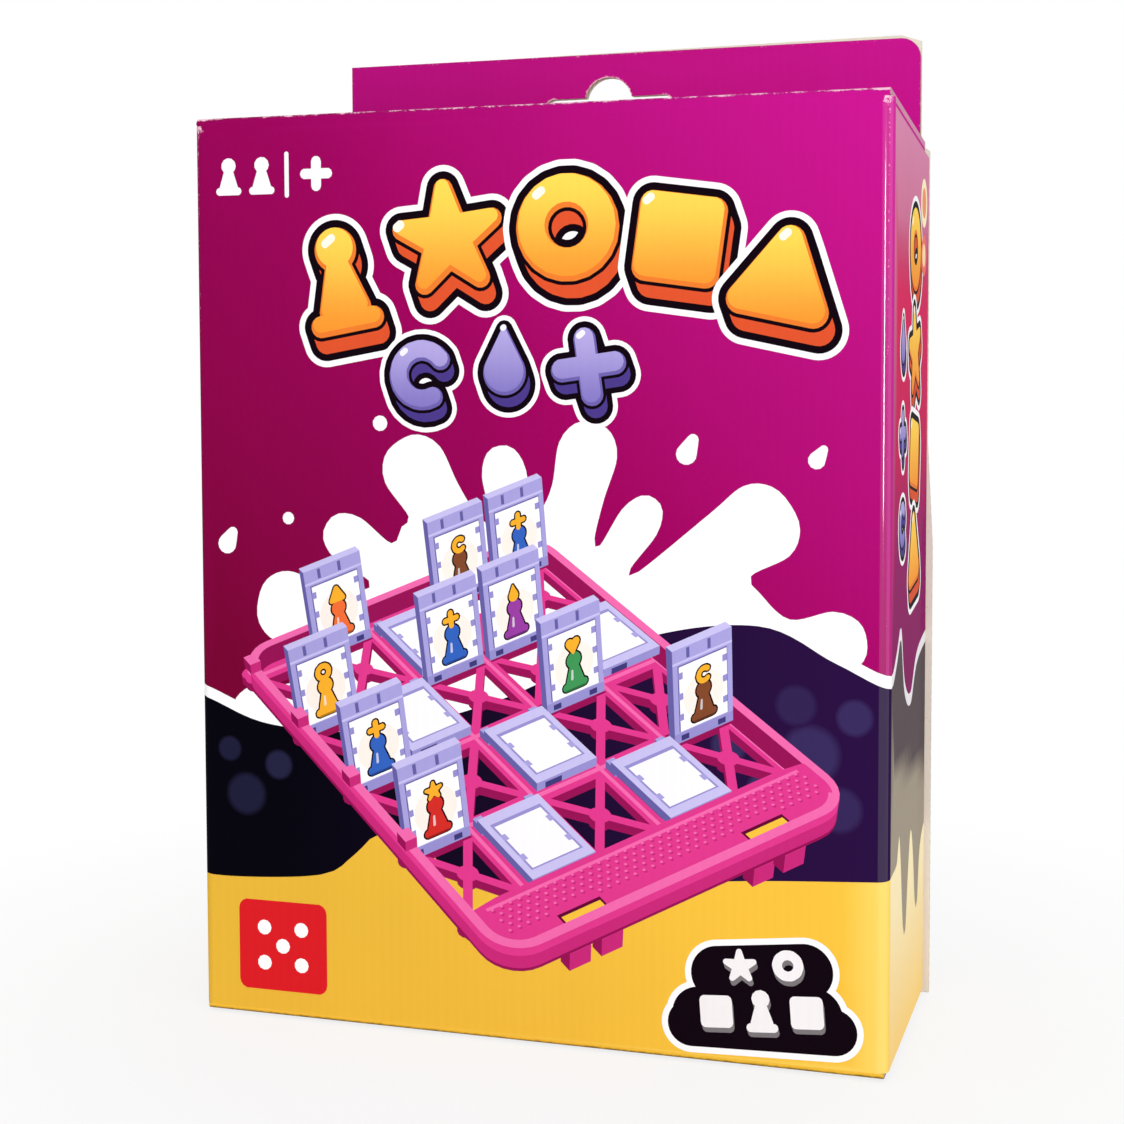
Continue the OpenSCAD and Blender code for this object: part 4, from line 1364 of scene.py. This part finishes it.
# Tokens on the lid and on the rear card's back, as name, x, y or z, size and tilt
LID_ROW = [("pawn", -44, 31, 10, 8), ("star", -22, 31, 11, 4), ("ring", 0, 31, 10.5, 0),
           ("block", 22, 31, 9.5, -6), ("peak", 43, 31, 10, -8)]
LID_SMALL_ROW = [("moon", -63, 20, 5.5, 0), ("drop", 62, 42, 5.5, 0), ("cross", 62, 17, 5.0, 0)]
REAR_ROW = [("lens", -40, 176, 10, 0), ("pawn", -14, 176, 10.5, 6), ("heart", 12, 176, 10.5, -4),
            ("star", 38, 176, 11, 8)]
# Half a width that covers the lid and the rear card
PRINT_REACH = 90
# The pictogram's panels, as middles, half width, foot and top, and its frames' pitch and half width
STEP_X, PANEL_HALF, PANEL_LOW, PANEL_HIGH = (-50, 0, 50), 19, 112, 148
STEP_PITCH, STEP_HALF = 12, 4
# Foot and height of a folded frame and of one that stands
STEP_FOLDED, STEP_UPRIGHT = (118, 6), (122, 20)
# The base's line on the rear card
REAR_BASE_LINE = [(-PRINT_REACH, 26), (-60, 30), (-30, 24), (0, 28), (30, 36), (60, 30), (PRINT_REACH, 34)]


class FLIPGAME_OT_lid_print(Operator):
    """Prints the lid's top"""
    bl_idname = "flipgame.lid_print"
    bl_label = "Lid print"

    def execute(self, context):
        inks, finish = context.scene.flip_print, context.scene.flip_board
        half, length = LID_HALF, LID_LENGTH
        sheet = Sheet(bar(-half, BOARD, half, length), finish.grid / MM)
        fade = field_colour_and_light(inks)
        # The lid's field takes the painted light fade, darker towards its back
        sheet.paint(bar(-PRINT_REACH, -PAST, PRINT_REACH, 70), lambda x, y: fade(x, 200 - y * 0.5))
        warm, cool = token_tones(inks)
        sheet.tokens(LID_ROW, warm, LARGE)
        sheet.tokens(LID_SMALL_ROW, cool, LID_SMALL)
        lift = finish.lift / MM
        up = Vector((0, math.sin(FALL), math.cos(FALL)))

        def place(x, y):
            return closure(x, y, lift), up

        def scuff(x, y):
            edge = min(half - abs(x), length - y)
            return 0.4 * max(0.0, 1 - edge)

        lid = sheet.build("lid_print", place, scuff)
        lid.data.materials.append(bpy.data.materials["laminate_print"])
        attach(lid, "lid")
        return {"FINISHED"}


class FLIPGAME_OT_rear_print(Operator):
    """Prints the rear card's back, round its hanging slot"""
    bl_idname = "flipgame.rear_print"
    bl_label = "Rear print"

    def execute(self, context):
        inks, finish = context.scene.flip_print, context.scene.flip_board
        wide, crease, top, inset = REAR_HIGH.x, REAR_CREASE_Z, BACK_HIGH.z, 0.25
        right, left = HALF - HEADER_RIGHT, HALF - HEADER_LEFT
        # Seen from the back, so x runs the other way
        outline = [(-wide + inset, inset), (wide - inset, inset), (wide - inset, REAR_FLARE_Z),
                   (HALF - inset, REAR_FLUSH_Z), (HALF - inset, crease - BOARD),
                   (left - inset, crease + inset), (left - inset, top - inset),
                   (-right + HEADER_RADIUS, top + REAR_RISE - inset),
                   (-right + inset, top + REAR_RISE - REAR_CLIP - inset), (-right + inset, crease + inset),
                   (-HALF + inset, crease - BOARD), (-HALF + inset, REAR_FLUSH_Z),
                   (-wide + inset, REAR_FLARE_Z)]
        sheet = Sheet(outline, finish.grid / MM)
        # The rear's field takes the painted light fade as well
        sheet.paint(bar(-PRINT_REACH, -PAST, PRINT_REACH, 230), field_colour_and_light(inks))
        base = smooth_through(REAR_BASE_LINE)
        sheet.paint(base + [(PRINT_REACH, -PAST), (-PRINT_REACH, -PAST)], tuple(inks.sand))
        sheet.tokens(REAR_ROW, token_tones(inks)[0], LARGE)
        self.paint_steps(sheet, inks)
        TrayPicture(sheet, 0, 72, 0.40, -36, inks).paint()
        for shape in slot_shape():
            sheet.cut([(-x, z) for x, z in shape])
        lift = finish.lift / MM

        def place(x, z):
            return Vector((-x, REAR_HIGH.y + lift, z)), Vector((0, 1, 0))

        rear = sheet.build("rear_print", place)
        rear.data.materials.append(bpy.data.materials["laminate_print"])
        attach(rear, "carton")
        return {"FINISHED"}

    def paint_steps(self, sheet, inks):
        """A pictogram of a turn: three frames stand, then two, then one."""
        white, lilac = tuple(inks.splash), tuple(inks.cool_foot)
        for step, x in enumerate(STEP_X):
            sheet.paint(rounded(x - PANEL_HALF, PANEL_LOW, x + PANEL_HALF, PANEL_HIGH, 4), white)
            for place in range(3):
                middle = x + STEP_PITCH * (place - 1)
                folded = place == 1 and step > 0 or place == 2 and step == 2
                low, tall = STEP_FOLDED if folded else STEP_UPRIGHT
                sheet.paint(rounded(middle - STEP_HALF, low, middle + STEP_HALF, low + tall, 0.8), lilac)
                if not folded:
                    ink = tuple(inks.warm_foot if place else inks.signal)
                    sheet.paint(bar(middle - 3, low + 1.5, middle + 3, low + tall - 1.5), white)
                    sheet.stamp("pawn", middle, low + tall / 2, 3.0, ink)
            sheet.paint(blob([(x - 17, 113.5, 0.9), (x + 17, 113.5, 0.9)]), tuple(inks.field_bright))


def bent_strip(name, rails, colour, scuff):
    """A narrow printed strip over a crease: rails are its lines along the crease, outermost rail first."""
    rows, count = len(rails), len(rails[0])
    quads = [(r * count + k, r * count + k + 1, (r + 1) * count + k + 1, (r + 1) * count + k)
             for r in range(rows - 1) for k in range(count - 1)]
    mesh = bpy.data.meshes.new(name)
    mesh.from_pydata([p * MM for rail in rails for p in rail], [], quads)
    inks = [colour(mesh.vertices[v].co / MM) for polygon in mesh.polygons for v in polygon.vertices]
    add_print(mesh, inks, [scuff(v.co / MM) for v in mesh.vertices])
    mesh.materials.append(bpy.data.materials["laminate_print"])
    return make_object(name, mesh)


def along(count, low, high):
    """Evenly spaced numbers from low to high."""
    return [low + (high - low) * k / (count - 1) for k in range(count)]


# The strips over the creases: points along each, the turns of the bend in degrees where they have lines,
# where the lid's strip starts on the front, and how far they lie over the print beside them
LID_POINTS, DUST_POINTS, TUCK_POINTS = 119, 30, 60
LID_TURNS, DUST_TURNS = (0, 18, 36, 54, 72, 90), (0, 22, 45, 67, 90)
STRIP_START, STRIP_LOW, STRIP_LIFT = 197.3, 198.2, 0.015
# Wear over the lid's crease: from how far under the top it grows and over what height, its nicks' size,
# and where the corners' wear starts and over what width
RUB_BELOW, RUB_OVER, NICK, RUB_CORNER, RUB_WIDE = 1.1, 0.9, 0.09, 71, 5


class FLIPGAME_OT_creases(Operator):
    """Carries the print over the creases of the lid, its tuck and the two dust flaps"""
    bl_idname = "flipgame.creases"
    bl_label = "Printed creases"

    def execute(self, context):
        # The strips take the field's painted light fade where they lie
        fade = field_colour_and_light(context.scene.flip_print)
        lift = context.scene.flip_board.lift / MM + STRIP_LIFT
        self.cover_lid(fade, lift)
        for side, body in ((-1, "left_dust"), (1, "right_dust")):
            self.cover_dust(side, body, fade, lift)
        self.cover_tuck(fade, lift)
        return {"FINISHED"}

    def cover_lid(self, fade, lift):
        """The strip from the front over the lid's crease."""
        xs = along(LID_POINTS, -LID_HALF, LID_HALF)
        rails = [[Vector((x, corner_y(x) - lift, z)) for x in xs] for z in (STRIP_START, STRIP_LOW)]
        for turn in map(math.radians, LID_TURNS):
            rails.append([closure(x, BOARD - (BOARD + lift) * math.cos(turn),
                                  -BOARD + (BOARD + lift) * math.sin(turn)) for x in xs])
        rails.append([closure(x, BOARD + 0.6, lift) for x in xs])
        ragged = random.Random(7)
        nicks = [ragged.uniform(-NICK, NICK) for _ in xs]

        def crack(p):
            """The laminate is cracked along the top of the bend, and worn through near the corners."""
            rise = ease((p.z - CREASE_Z + RUB_BELOW) / RUB_OVER)
            corner = ease((abs(p.x) - RUB_CORNER) / RUB_WIDE)
            place = round((p.x + LID_HALF) / (2 * LID_HALF) * (len(xs) - 1))
            nick = nicks[min(len(xs) - 1, max(0, place))]
            return 0.08 + (0.44 + 1.5 * nick) * rise + 0.3 * corner * (0.3 + 0.7 * rise)

        lid = bent_strip("lid_crease", rails, lambda p: fade(p.x, 200), crack)
        start, end = Vector((0, FRONT_Y, STRIP_LOW)) * MM, closure(0, BOARD, 0) * MM
        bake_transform(lid)
        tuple(start)
        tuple(end)

    def cover_dust(self, side, body, fade, lift):
        """The strip over a dust flap's crease, which rides on the flap."""
        ys = along(DUST_POINTS, DUST_LOW, DUST_HIGH)
        low, out = -2 * BOARD - FOLD_GAP, BOARD + lift
        rails = [[closure(side * (HALF + lift), y, low - 0.35) for y in ys]]
        for turn in map(math.radians, DUST_TURNS):
            rails.append([closure(side * (HALF - BOARD + out * math.cos(turn)), y,
                                  low + out * math.sin(turn)) for y in ys])
        rails.append([closure(side * (HALF - BOARD - 0.6), y, low + BOARD + lift) for y in ys])
        strip = bent_strip(f"{body}_crease", rails, lambda p: fade(side * (CORNER + 10), p.z), lambda p: 0.2)
        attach(strip, body)

    def cover_tuck(self, fade, lift):
        """The strip from the lid over its tuck's crease."""
        xs, length, out = along(TUCK_POINTS, -TUCK_HALF, TUCK_HALF), LID_LENGTH, BOARD + lift
        root_y, root_z = length - BOARD, -BOARD - FOLD_GAP
        spots = [(length - 0.9, lift), (length - 0.2, lift), (length + lift, -FOLD_GAP),
                 (length + lift, -BOARD)]
        for down in (0.35, 1.4):
            spots.append((root_y + out * math.cos(TUCK_LEAN) - down * math.sin(TUCK_LEAN),
                          root_z - out * math.sin(TUCK_LEAN) - down * math.cos(TUCK_LEAN)))
        rails = [[closure(x, y, z) for x in xs] for y, z in spots]
        tuck = bent_strip("tuck_crease", rails, lambda p: fade(p.x, 180), lambda p: 0.3)
        closure(0, length, -BOARD) * MM
        closure(0, length, -BOARD - 0.8) * MM
        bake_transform(tuck)


def corner_y(x):
    """Depth of the front's face at x, which turns back round the upright creases."""
    run = max(0.0, abs(x) - FLAT_HALF)
    return FRONT_Y + CREASE_R - math.sqrt(max(0.0, CREASE_R ** 2 - run ** 2))


# The raised dots on the trays' strips: rows and dots in a row, the first one's place across and along,
# their pitches, radius and height, and where the two openings leave them out of the first row
DOT_ROWS, DOTS, DOT_X, DOT_Z, DOT_PITCH, DOT_ROW_PITCH = 5, 44, -62, 9.5, 2.9, 2.2
DOT_RADIUS, DOT_HEIGHT, OPENING_FROM, OPENING_TO = 0.55, 0.35, 31, 45
# How far a tray's locking tabs reach past its end
TRAY_END = 1.8


class FLIPGAME_OT_trays(Operator):
    """Finishes the two trays and raises the dots on their strips"""
    bl_idname = "flipgame.trays"
    bl_label = "Trays"

    def execute(self, context):
        plastic = moulded("tray_pink", tuple(context.scene.flip_moulded.tray), 0.34)
        for node in ("tray_a", "tray_b"):
            item = frame["nodes"][node]
            item.data.materials.clear()
            item.data.materials.append(plastic)
            low, high = span(node)
            # Tray b stands in front with its strip at the top, tray a behind with its strip at the foot
            if node == "tray_b":
                facing, inner_y, strip_z, inward = 1, high.y, high.z - TRAY_END, -1
            else:
                facing, inner_y, strip_z, inward = -1, low.y, low.z + TRAY_END, 1
            dots = []
            for row in range(DOT_ROWS):
                for k in range(DOTS):
                    x = DOT_X + DOT_PITCH * k + (DOT_PITCH / 2 if row % 2 else 0)
                    if row > 0 or not OPENING_FROM < abs(x) < OPENING_TO:
                        dots.append(Vector((x, inner_y, strip_z + inward * (DOT_Z + DOT_ROW_PITCH * row))))
            dome = dome_mesh(f"{node}_dots", dots, Vector((0, facing, 0)), DOT_RADIUS, DOT_HEIGHT)
            dome.data.materials.append(plastic)
            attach(dome, node)
        return {"FINISHED"}


def dome_mesh(name, spots, up, radius, height):
    """Low round dots standing on a face, all in one mesh."""
    coords, polygons = [], []
    across = Vector((1, 0, 0))
    level = up.cross(across)
    # Each ring's share of the radius and of the height, from the foot up
    rings, sides = ((1.0, -0.1), (0.86, 0.5), (0.5, 0.87)), 8
    for spot in spots:
        start = len(coords)
        for share, rise in rings:
            for k in range(sides):
                a = 2 * math.pi * k / sides
                coords.append((spot + (across * math.cos(a) + level * math.sin(a)) * radius * share
                               + up * height * rise) * MM)
        coords.append((spot + up * height) * MM)
        for ring in range(len(rings) - 1):
            for k in range(sides):
                a, b = start + ring * sides + k, start + ring * sides + (k + 1) % sides
                polygons.append((a, b, b + sides, a + sides))
        last = start + (len(rings) - 1) * sides
        for k in range(sides):
            polygons.append((last + k, last + (k + 1) % sides, start + len(rings) * sides))
    mesh = bpy.data.meshes.new(name)
    mesh.from_pydata(coords, [], polygons)
    mesh.update()
    if mesh.polygons[0].normal.dot(mesh.polygons[0].center - spots[0] * MM) < 0:
        mesh.flip_normals()
    mesh.polygons.foreach_set("use_smooth", [True] * len(mesh.polygons))
    return make_object(name, mesh)


def islands(mesh):
    """Polygons grouped by the solid that they belong to, whose corners share places."""
    owner = {}

    def find(key):
        while owner[key] != key:
            owner[key] = owner[owner[key]]
            key = owner[key]
        return key

    keys = [tuple(round(c, 6) for c in v.co) for v in mesh.vertices]
    for key in keys:
        owner.setdefault(key, key)
    for polygon in mesh.polygons:
        first = find(keys[polygon.vertices[0]])
        for v in polygon.vertices[1:]:
            owner[find(keys[v])] = first
            first = find(first)
    groups = {}
    for polygon in mesh.polygons:
        groups.setdefault(find(keys[polygon.vertices[0]]), []).append(polygon)
    return list(groups.values())


# Inks and toppers of the frames' cards, and the pale coated card and paper
CARD_HUES = [shade(204, 48, 40), shade(48, 96, 186), shade(236, 164, 40), shade(58, 146, 84),
             shade(146, 62, 160), shade(124, 74, 44), shade(232, 106, 150), shade(38, 160, 170)]
CARD_TOPPERS = ["star", "peak", "moon", "drop", "cross", "heart", "ring", "block"]
CARD_WHITE, PAPER_WHITE, WHITE = shade(250, 250, 248), shade(244, 242, 236), (1, 1, 1)
# How far a card's print lies inside its edges and off its face, and the grid of such small sheets
CARD_INSET, CARD_LIFT, CARD_GRID = 0.2, 0.03, 6


class FLIPGAME_OT_flip_frames(Operator):
    """Finishes the flip frames and prints a playing piece on each frame's card"""
    bl_idname = "flipgame.flip_frames"
    bl_label = "Flip frames and cards"

    def execute(self, context):
        tones, inks = context.scene.flip_moulded, context.scene.flip_print
        plastic = moulded("frame_lilac", tuple(tones.flip_frame), 0.36)
        blank = coated_card("card_blank", tuple(tones.card), False)
        printed = coated_card("card_print", tuple(tones.card), True)
        for letter, facing in (("a", 1), ("b", -1)):
            for number in range(1, 21):
                node = f"flip_{letter}{number:02d}"
                mesh = frame["nodes"][node].data
                mesh.materials.clear()
                mesh.materials.append(plastic)
                mesh.materials.append(blank)
                card = min(islands(mesh), key=len)
                for polygon in card:
                    polygon.material_index = 1
                corners = [mesh.vertices[v].co / MM for polygon in card for v in polygon.vertices]
                low = Vector([min(c[k] for c in corners) for k in range(3)])
                high = Vector([max(c[k] for c in corners) for k in range(3)])
                self.print_card(node, low, high, letter, facing, number, inks, printed)
        return {"FINISHED"}

    def print_card(self, node, low, high, letter, facing, number, inks, material):
        """A thin print on the card's open face, the right way up when the frame stands."""
        half_w, half_l = (high.x - low.x) / 2 - CARD_INSET, (high.z - low.z) / 2 - CARD_INSET
        middle = (low + high) / 2
        # Tray b stands head down, so its cards are printed the other way up
        head = -1 if letter == "a" else 1
        face_y = high.y if facing > 0 else low.y
        sheet = Sheet(bar(-half_w, -half_l, half_w, half_l), CARD_GRID)
        sheet.paint(bar(-20, -20, 20, 20), CARD_WHITE)
        hue = CARD_HUES[(number * 3 + (4 if letter == "b" else 0)) % len(CARD_HUES)]
        other = CARD_HUES[(number * 5 + 2) % len(CARD_HUES)]
        topper, outline = CARD_TOPPERS[number % len(CARD_TOPPERS)], tuple(inks.outline)
        sheet.paint(blob([(0, 0.8, 7.4)]), between(hue, WHITE, 0.82))
        sheet.stamp("pawn", 0, -0.4, 5.6, outline, grow=0.45)
        sheet.stamp("pawn", 0, -0.4, 5.6, hue)
        sheet.stamp(topper, 0, 5.4, 2.3, outline, grow=0.4)
        sheet.stamp(topper, 0, 5.4, 2.3, other)
        sheet.paint(blob([(-5, -9.2, 0.45), (5, -9.2, 0.45)]), between(hue, WHITE, 0.2))

        def place(x, z):
            return (Vector((middle.x + x * facing * head, face_y + CARD_LIFT * facing, middle.z + z * head)),
                    Vector((0, facing, 0)))

        card = sheet.build(f"{node}_print", place)
        card.data.materials.append(material)
        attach(card, node)


class FLIPGAME_OT_packing(Operator):
    """Finishes the packing board, the loose cards and the rules leaflet"""
    bl_idname = "flipgame.packing"
    bl_label = "Packing"

    def execute(self, context):
        tones, inks, finish = context.scene.flip_moulded, context.scene.flip_print, context.scene.flip_board
        brown = {"face": liner("packing_brown", tuple(tones.packing), 0.16),
                 "edge": cut_edge("packing_edge", tuple(tones.packing), finish)}
        paint_by_side("packing_shelf", brown, lambda n, c: "face" if abs(n.z) > FACING else "edge")
        paint_by_side("packing_legs", brown, lambda n, c: "face" if abs(n.x) > FACING else "edge")
        cards = {"card": bpy.data.materials["card_blank"]}
        paint_by_side("card_deck", cards, lambda n, c: "card")
        paper = {"paper": liner("leaflet_paper", scaled(tones.card, 0.98), 0.04)}
        paint_by_side("rules_leaflet", paper, lambda n, c: "paper")
        low, high = span("card_deck")
        self.top_print("card_deck_print", low, high, CARD_INSET, self.deck_face(inks), "card_paper")
        low, high = span("rules_leaflet")
        low.y, high.y = low.y + 0.8, high.y - 0.8
        self.top_print("rules_leaflet_print", low, high, 0.6, self.leaflet_face(inks), "leaflet_paper")
        return {"FINISHED"}

    def deck_face(self, inks):
        """The deck's card back: a bright field with a magnifier."""
        def paint(sheet, half_w, half_l):
            w, l = half_w - 2.2, half_l - 2.2
            sheet.paint(bar(-60, -60, 60, 60), CARD_WHITE)
            sheet.paint(rounded(-w, -l, w, l, 1), tuple(inks.field_bright))
            sheet.stamp("lens", 0, 0, 5.2, tuple(inks.splash), grow=0.3)
        return paint

    def leaflet_face(self, inks):
        """The leaflet's cover: three tokens in pale panels."""
        def paint(sheet, half_w, half_l):
            sheet.paint(bar(-60, -60, 60, 60), PAPER_WHITE)
            for token, x, ink in (("pawn", -20, inks.signal), ("lens", 0, inks.field_bright),
                                  ("star", 20, inks.warm_foot)):
                sheet.paint(rounded(x - 7, -9, x + 7, 9, 1), between(tuple(inks.cool_top), WHITE, 0.5))
                sheet.stamp(token, x, 0, 5.5, tuple(ink))
        return paint

    def top_print(self, name, low, high, inset, paint, slot):
        """A thin print on the top of something packed, inset from its edges."""
        half_w, half_l = (high.x - low.x) / 2 - inset, (high.y - low.y) / 2 - inset
        middle = (low + high) / 2
        sheet = Sheet(bar(-half_w, -half_l, half_w, half_l), CARD_GRID)
        paint(sheet, half_w, half_l)

        def place(x, y):
            return Vector((middle.x + x, middle.y + y, high.z + CARD_LIFT)), Vector((0, 0, 1))

        made = sheet.build(name, place)
        made.data.materials.append(bpy.data.materials["card_print"])
        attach(made, "packing")


# The camera's place in metres, its yaw, pitch and roll in degrees, and its shift up as a share of the picture
CAMERA_SPOT = Vector((0.1299, -0.4154, 0.1444))
CAMERA_YAW, CAMERA_PITCH, CAMERA_ROLL, CAMERA_SHIFT = 17.53, -3.37, -0.17, -0.07
# Each lamp's place, the point it looks at, and its width and height, in metres
KEY_LAMP = ((0.9, -1.0, 1.15), (0, 0, 0.1), 1.0, 1.0)
STRIP_LAMP = ((0.604, -1.218, 0.17), (0.075, -0.03, 0.15), 0.14, 0.30)
# Half the floor's side and its height in metres, how far from the middle its shade starts to end and ends,
# and how much it glows inside that
FLOOR_REACH, FLOOR_Z = 6, -0.0004
SHADE_FROM, SHADE_TO, SHADE_GLOW = 0.085, 0.22, 0.8


class FLIPGAME_OT_stage(Operator):
    """Sets the floor, the lamps, the surroundings and the camera"""
    bl_idname = "flipgame.stage"
    bl_label = "Stage"

    def execute(self, context):
        light = context.scene.flip_stage
        context.scene.view_settings.view_transform = "Standard"
        self.floor()
        self.world(light.surround)
        self.lamp("key_lamp", *KEY_LAMP, light.key)
        self.lamp("strip_lamp", *STRIP_LAMP, light.strip)
        self.camera(light.lens)
        return {"FINISHED"}

    def floor(self):
        """A wide white floor, which glows as bright as the surroundings away from the carton."""
        mesh = bpy.data.meshes.new("floor")
        corners = [(x, y, FLOOR_Z) for x, y in bar(-FLOOR_REACH, -FLOOR_REACH, FLOOR_REACH, FLOOR_REACH)]
        mesh.from_pydata(corners, [], [(0, 1, 2, 3)])
        floor = make_object("floor", mesh)
        r = Recipe("floor_white", {"Specular IOR Level": 0.0, "Roughness": 0.9})
        r.colour(r.mixed(r.ranged(r.noise(3, 2), 0.3, 0.7), (0.9, 0.9, 0.9), (0.88, 0.88, 0.885)))
        glow = r.add("ShaderNodeEmission")
        glow.inputs["Strength"].default_value = 1.0
        share = r.add("ShaderNodeMixShader")
        path = r.add("ShaderNodeLightPath")
        mirrored = r.sum_of("MAXIMUM", path.outputs["Is Glossy Ray"], path.outputs["Is Transmission Ray"])
        seen = r.sum_of("MAXIMUM", path.outputs["Is Camera Ray"], mirrored)
        glowing = r.ranged(r.distance(), SHADE_FROM, SHADE_TO, SHADE_GLOW, 1.0)
        r.join(r.sum_of("MULTIPLY", seen, glowing), share.inputs["Fac"])
        r.join(r.shader.outputs["BSDF"], share.inputs[1])
        r.join(glow.outputs["Emission"], share.inputs[2])
        r.join(share.outputs["Shader"], r.tree.nodes["Material Output"].inputs["Surface"])
        mesh.materials.append(r.material)
        floor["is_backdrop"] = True

    def world(self, strength):
        """Surroundings that look white and light the carton by strength."""
        world = bpy.data.worlds.new("studio")
        bpy.context.scene.world = world
        world.use_nodes = True
        tree = world.node_tree
        back = tree.nodes["Background"]
        back.inputs["Color"].default_value = (1, 1, 1, 1)
        back.inputs["Strength"].default_value = strength
        white = tree.nodes.new("ShaderNodeBackground")
        white.inputs["Color"].default_value = (1, 1, 1, 1)
        white.inputs["Strength"].default_value = 1.0
        path = tree.nodes.new("ShaderNodeLightPath")
        first = tree.nodes.new("ShaderNodeMath")
        second = tree.nodes.new("ShaderNodeMath")
        first.operation = second.operation = "MAXIMUM"
        share = tree.nodes.new("ShaderNodeMixShader")
        for source, target in ((path.outputs["Is Camera Ray"], first.inputs[0]),
                               (path.outputs["Is Glossy Ray"], first.inputs[1]),
                               (first.outputs[0], second.inputs[0]),
                               (path.outputs["Is Transmission Ray"], second.inputs[1]),
                               (second.outputs[0], share.inputs["Fac"]),
                               (back.outputs[0], share.inputs[1]), (white.outputs[0], share.inputs[2]),
                               (share.outputs[0], tree.nodes["World Output"].inputs["Surface"])):
            tree.links.new(source, target)

    def lamp(self, name, spot, target, width, height, watts):
        """A rectangular lamp that looks at target."""
        data = bpy.data.lights.new(name, "AREA")
        data.shape = "RECTANGLE"
        data.size, data.size_y = width, height
        data.energy = watts
        lamp = make_object(name, data)
        lamp.location = spot
        lamp.rotation_euler = (Vector(target) - Vector(spot)).to_track_quat("-Z", "Y").to_euler()

    def camera(self, lens):
        """The camera that sees the carton as the photo does."""
        data = bpy.data.cameras.new("camera")
        data.sensor_width = 36
        data.lens = lens
        data.shift_y = CAMERA_SHIFT
        data.clip_start, data.clip_end = 0.01, 50
        camera = make_object("camera", data)
        yaw, pitch, roll = (math.radians(turn) for turn in (CAMERA_YAW, CAMERA_PITCH, CAMERA_ROLL))
        ahead = Vector((-math.sin(yaw) * math.cos(pitch), math.cos(yaw) * math.cos(pitch), math.sin(pitch)))
        level = Vector((math.cos(yaw), math.sin(yaw), 0))
        above = level.cross(ahead)
        right = level * math.cos(roll) + above * math.sin(roll)
        up = above * math.cos(roll) - level * math.sin(roll)
        spot = CAMERA_SPOT
        camera.matrix_world = Matrix((
            (right.x, up.x, -ahead.x, spot.x), (right.y, up.y, -ahead.y, spot.y),
            (right.z, up.z, -ahead.z, spot.z), (0, 0, 0, 1)))
        bpy.context.scene.camera = camera


STEPS = (FLIPGAME_OT_board, FLIPGAME_OT_wrap_print, FLIPGAME_OT_header_print, FLIPGAME_OT_lid_print,
         FLIPGAME_OT_rear_print, FLIPGAME_OT_creases, FLIPGAME_OT_trays, FLIPGAME_OT_flip_frames,
         FLIPGAME_OT_packing, FLIPGAME_OT_stage)


class FLIPGAME_PT_panel(Panel):
    """Lists the pieces, their colours and sizes"""
    bl_idname = "FLIPGAME_PT_panel"
    bl_label = "Flip Game"
    bl_space_type = "VIEW_3D"
    bl_region_type = "UI"
    bl_category = "Flip Game"

    def draw(self, context):
        for step in STEPS:
            self.layout.operator(step.bl_idname)
        for group in (context.scene.flip_print, context.scene.flip_board, context.scene.flip_moulded,
                      context.scene.flip_stage):
            box = self.layout.box()
            for name in group.bl_rna.properties.keys():
                if name not in ("rna_type", "name"):
                    box.prop(group, name)


GROUPS = {"flip_print": PrintColours, "flip_board": BoardFinish, "flip_moulded": MouldedColours,
          "flip_stage": StageLight}


def register():
    """Adds the classes and the scene's settings."""
    for group in GROUPS.values():
        bpy.utils.register_class(group)
    for name, group in GROUPS.items():
        setattr(bpy.types.Scene, name, PointerProperty(type=group))
    for step in (*STEPS, FLIPGAME_PT_panel):
        bpy.utils.register_class(step)


def unregister():
    """Takes them away again."""
    for step in (FLIPGAME_PT_panel, *reversed(STEPS)):
        bpy.utils.unregister_class(step)
    for name in GROUPS:
        delattr(bpy.types.Scene, name)
    for group in GROUPS.values():
        bpy.utils.unregister_class(group)


def main():
    register()
    for step in STEPS:
        area, name = step.bl_idname.split(".")
        result = getattr(getattr(bpy.ops, area), name)()
        if result != {"FINISHED"}:
            raise RuntimeError(f"{step.bl_label} was not finished")
    boxes = {"cad": CAD_BOX, "visual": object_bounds()}
    {name: [list(corner) for corner in box] for name, box in boxes.items()}


if __name__ == "__main__":
    main()
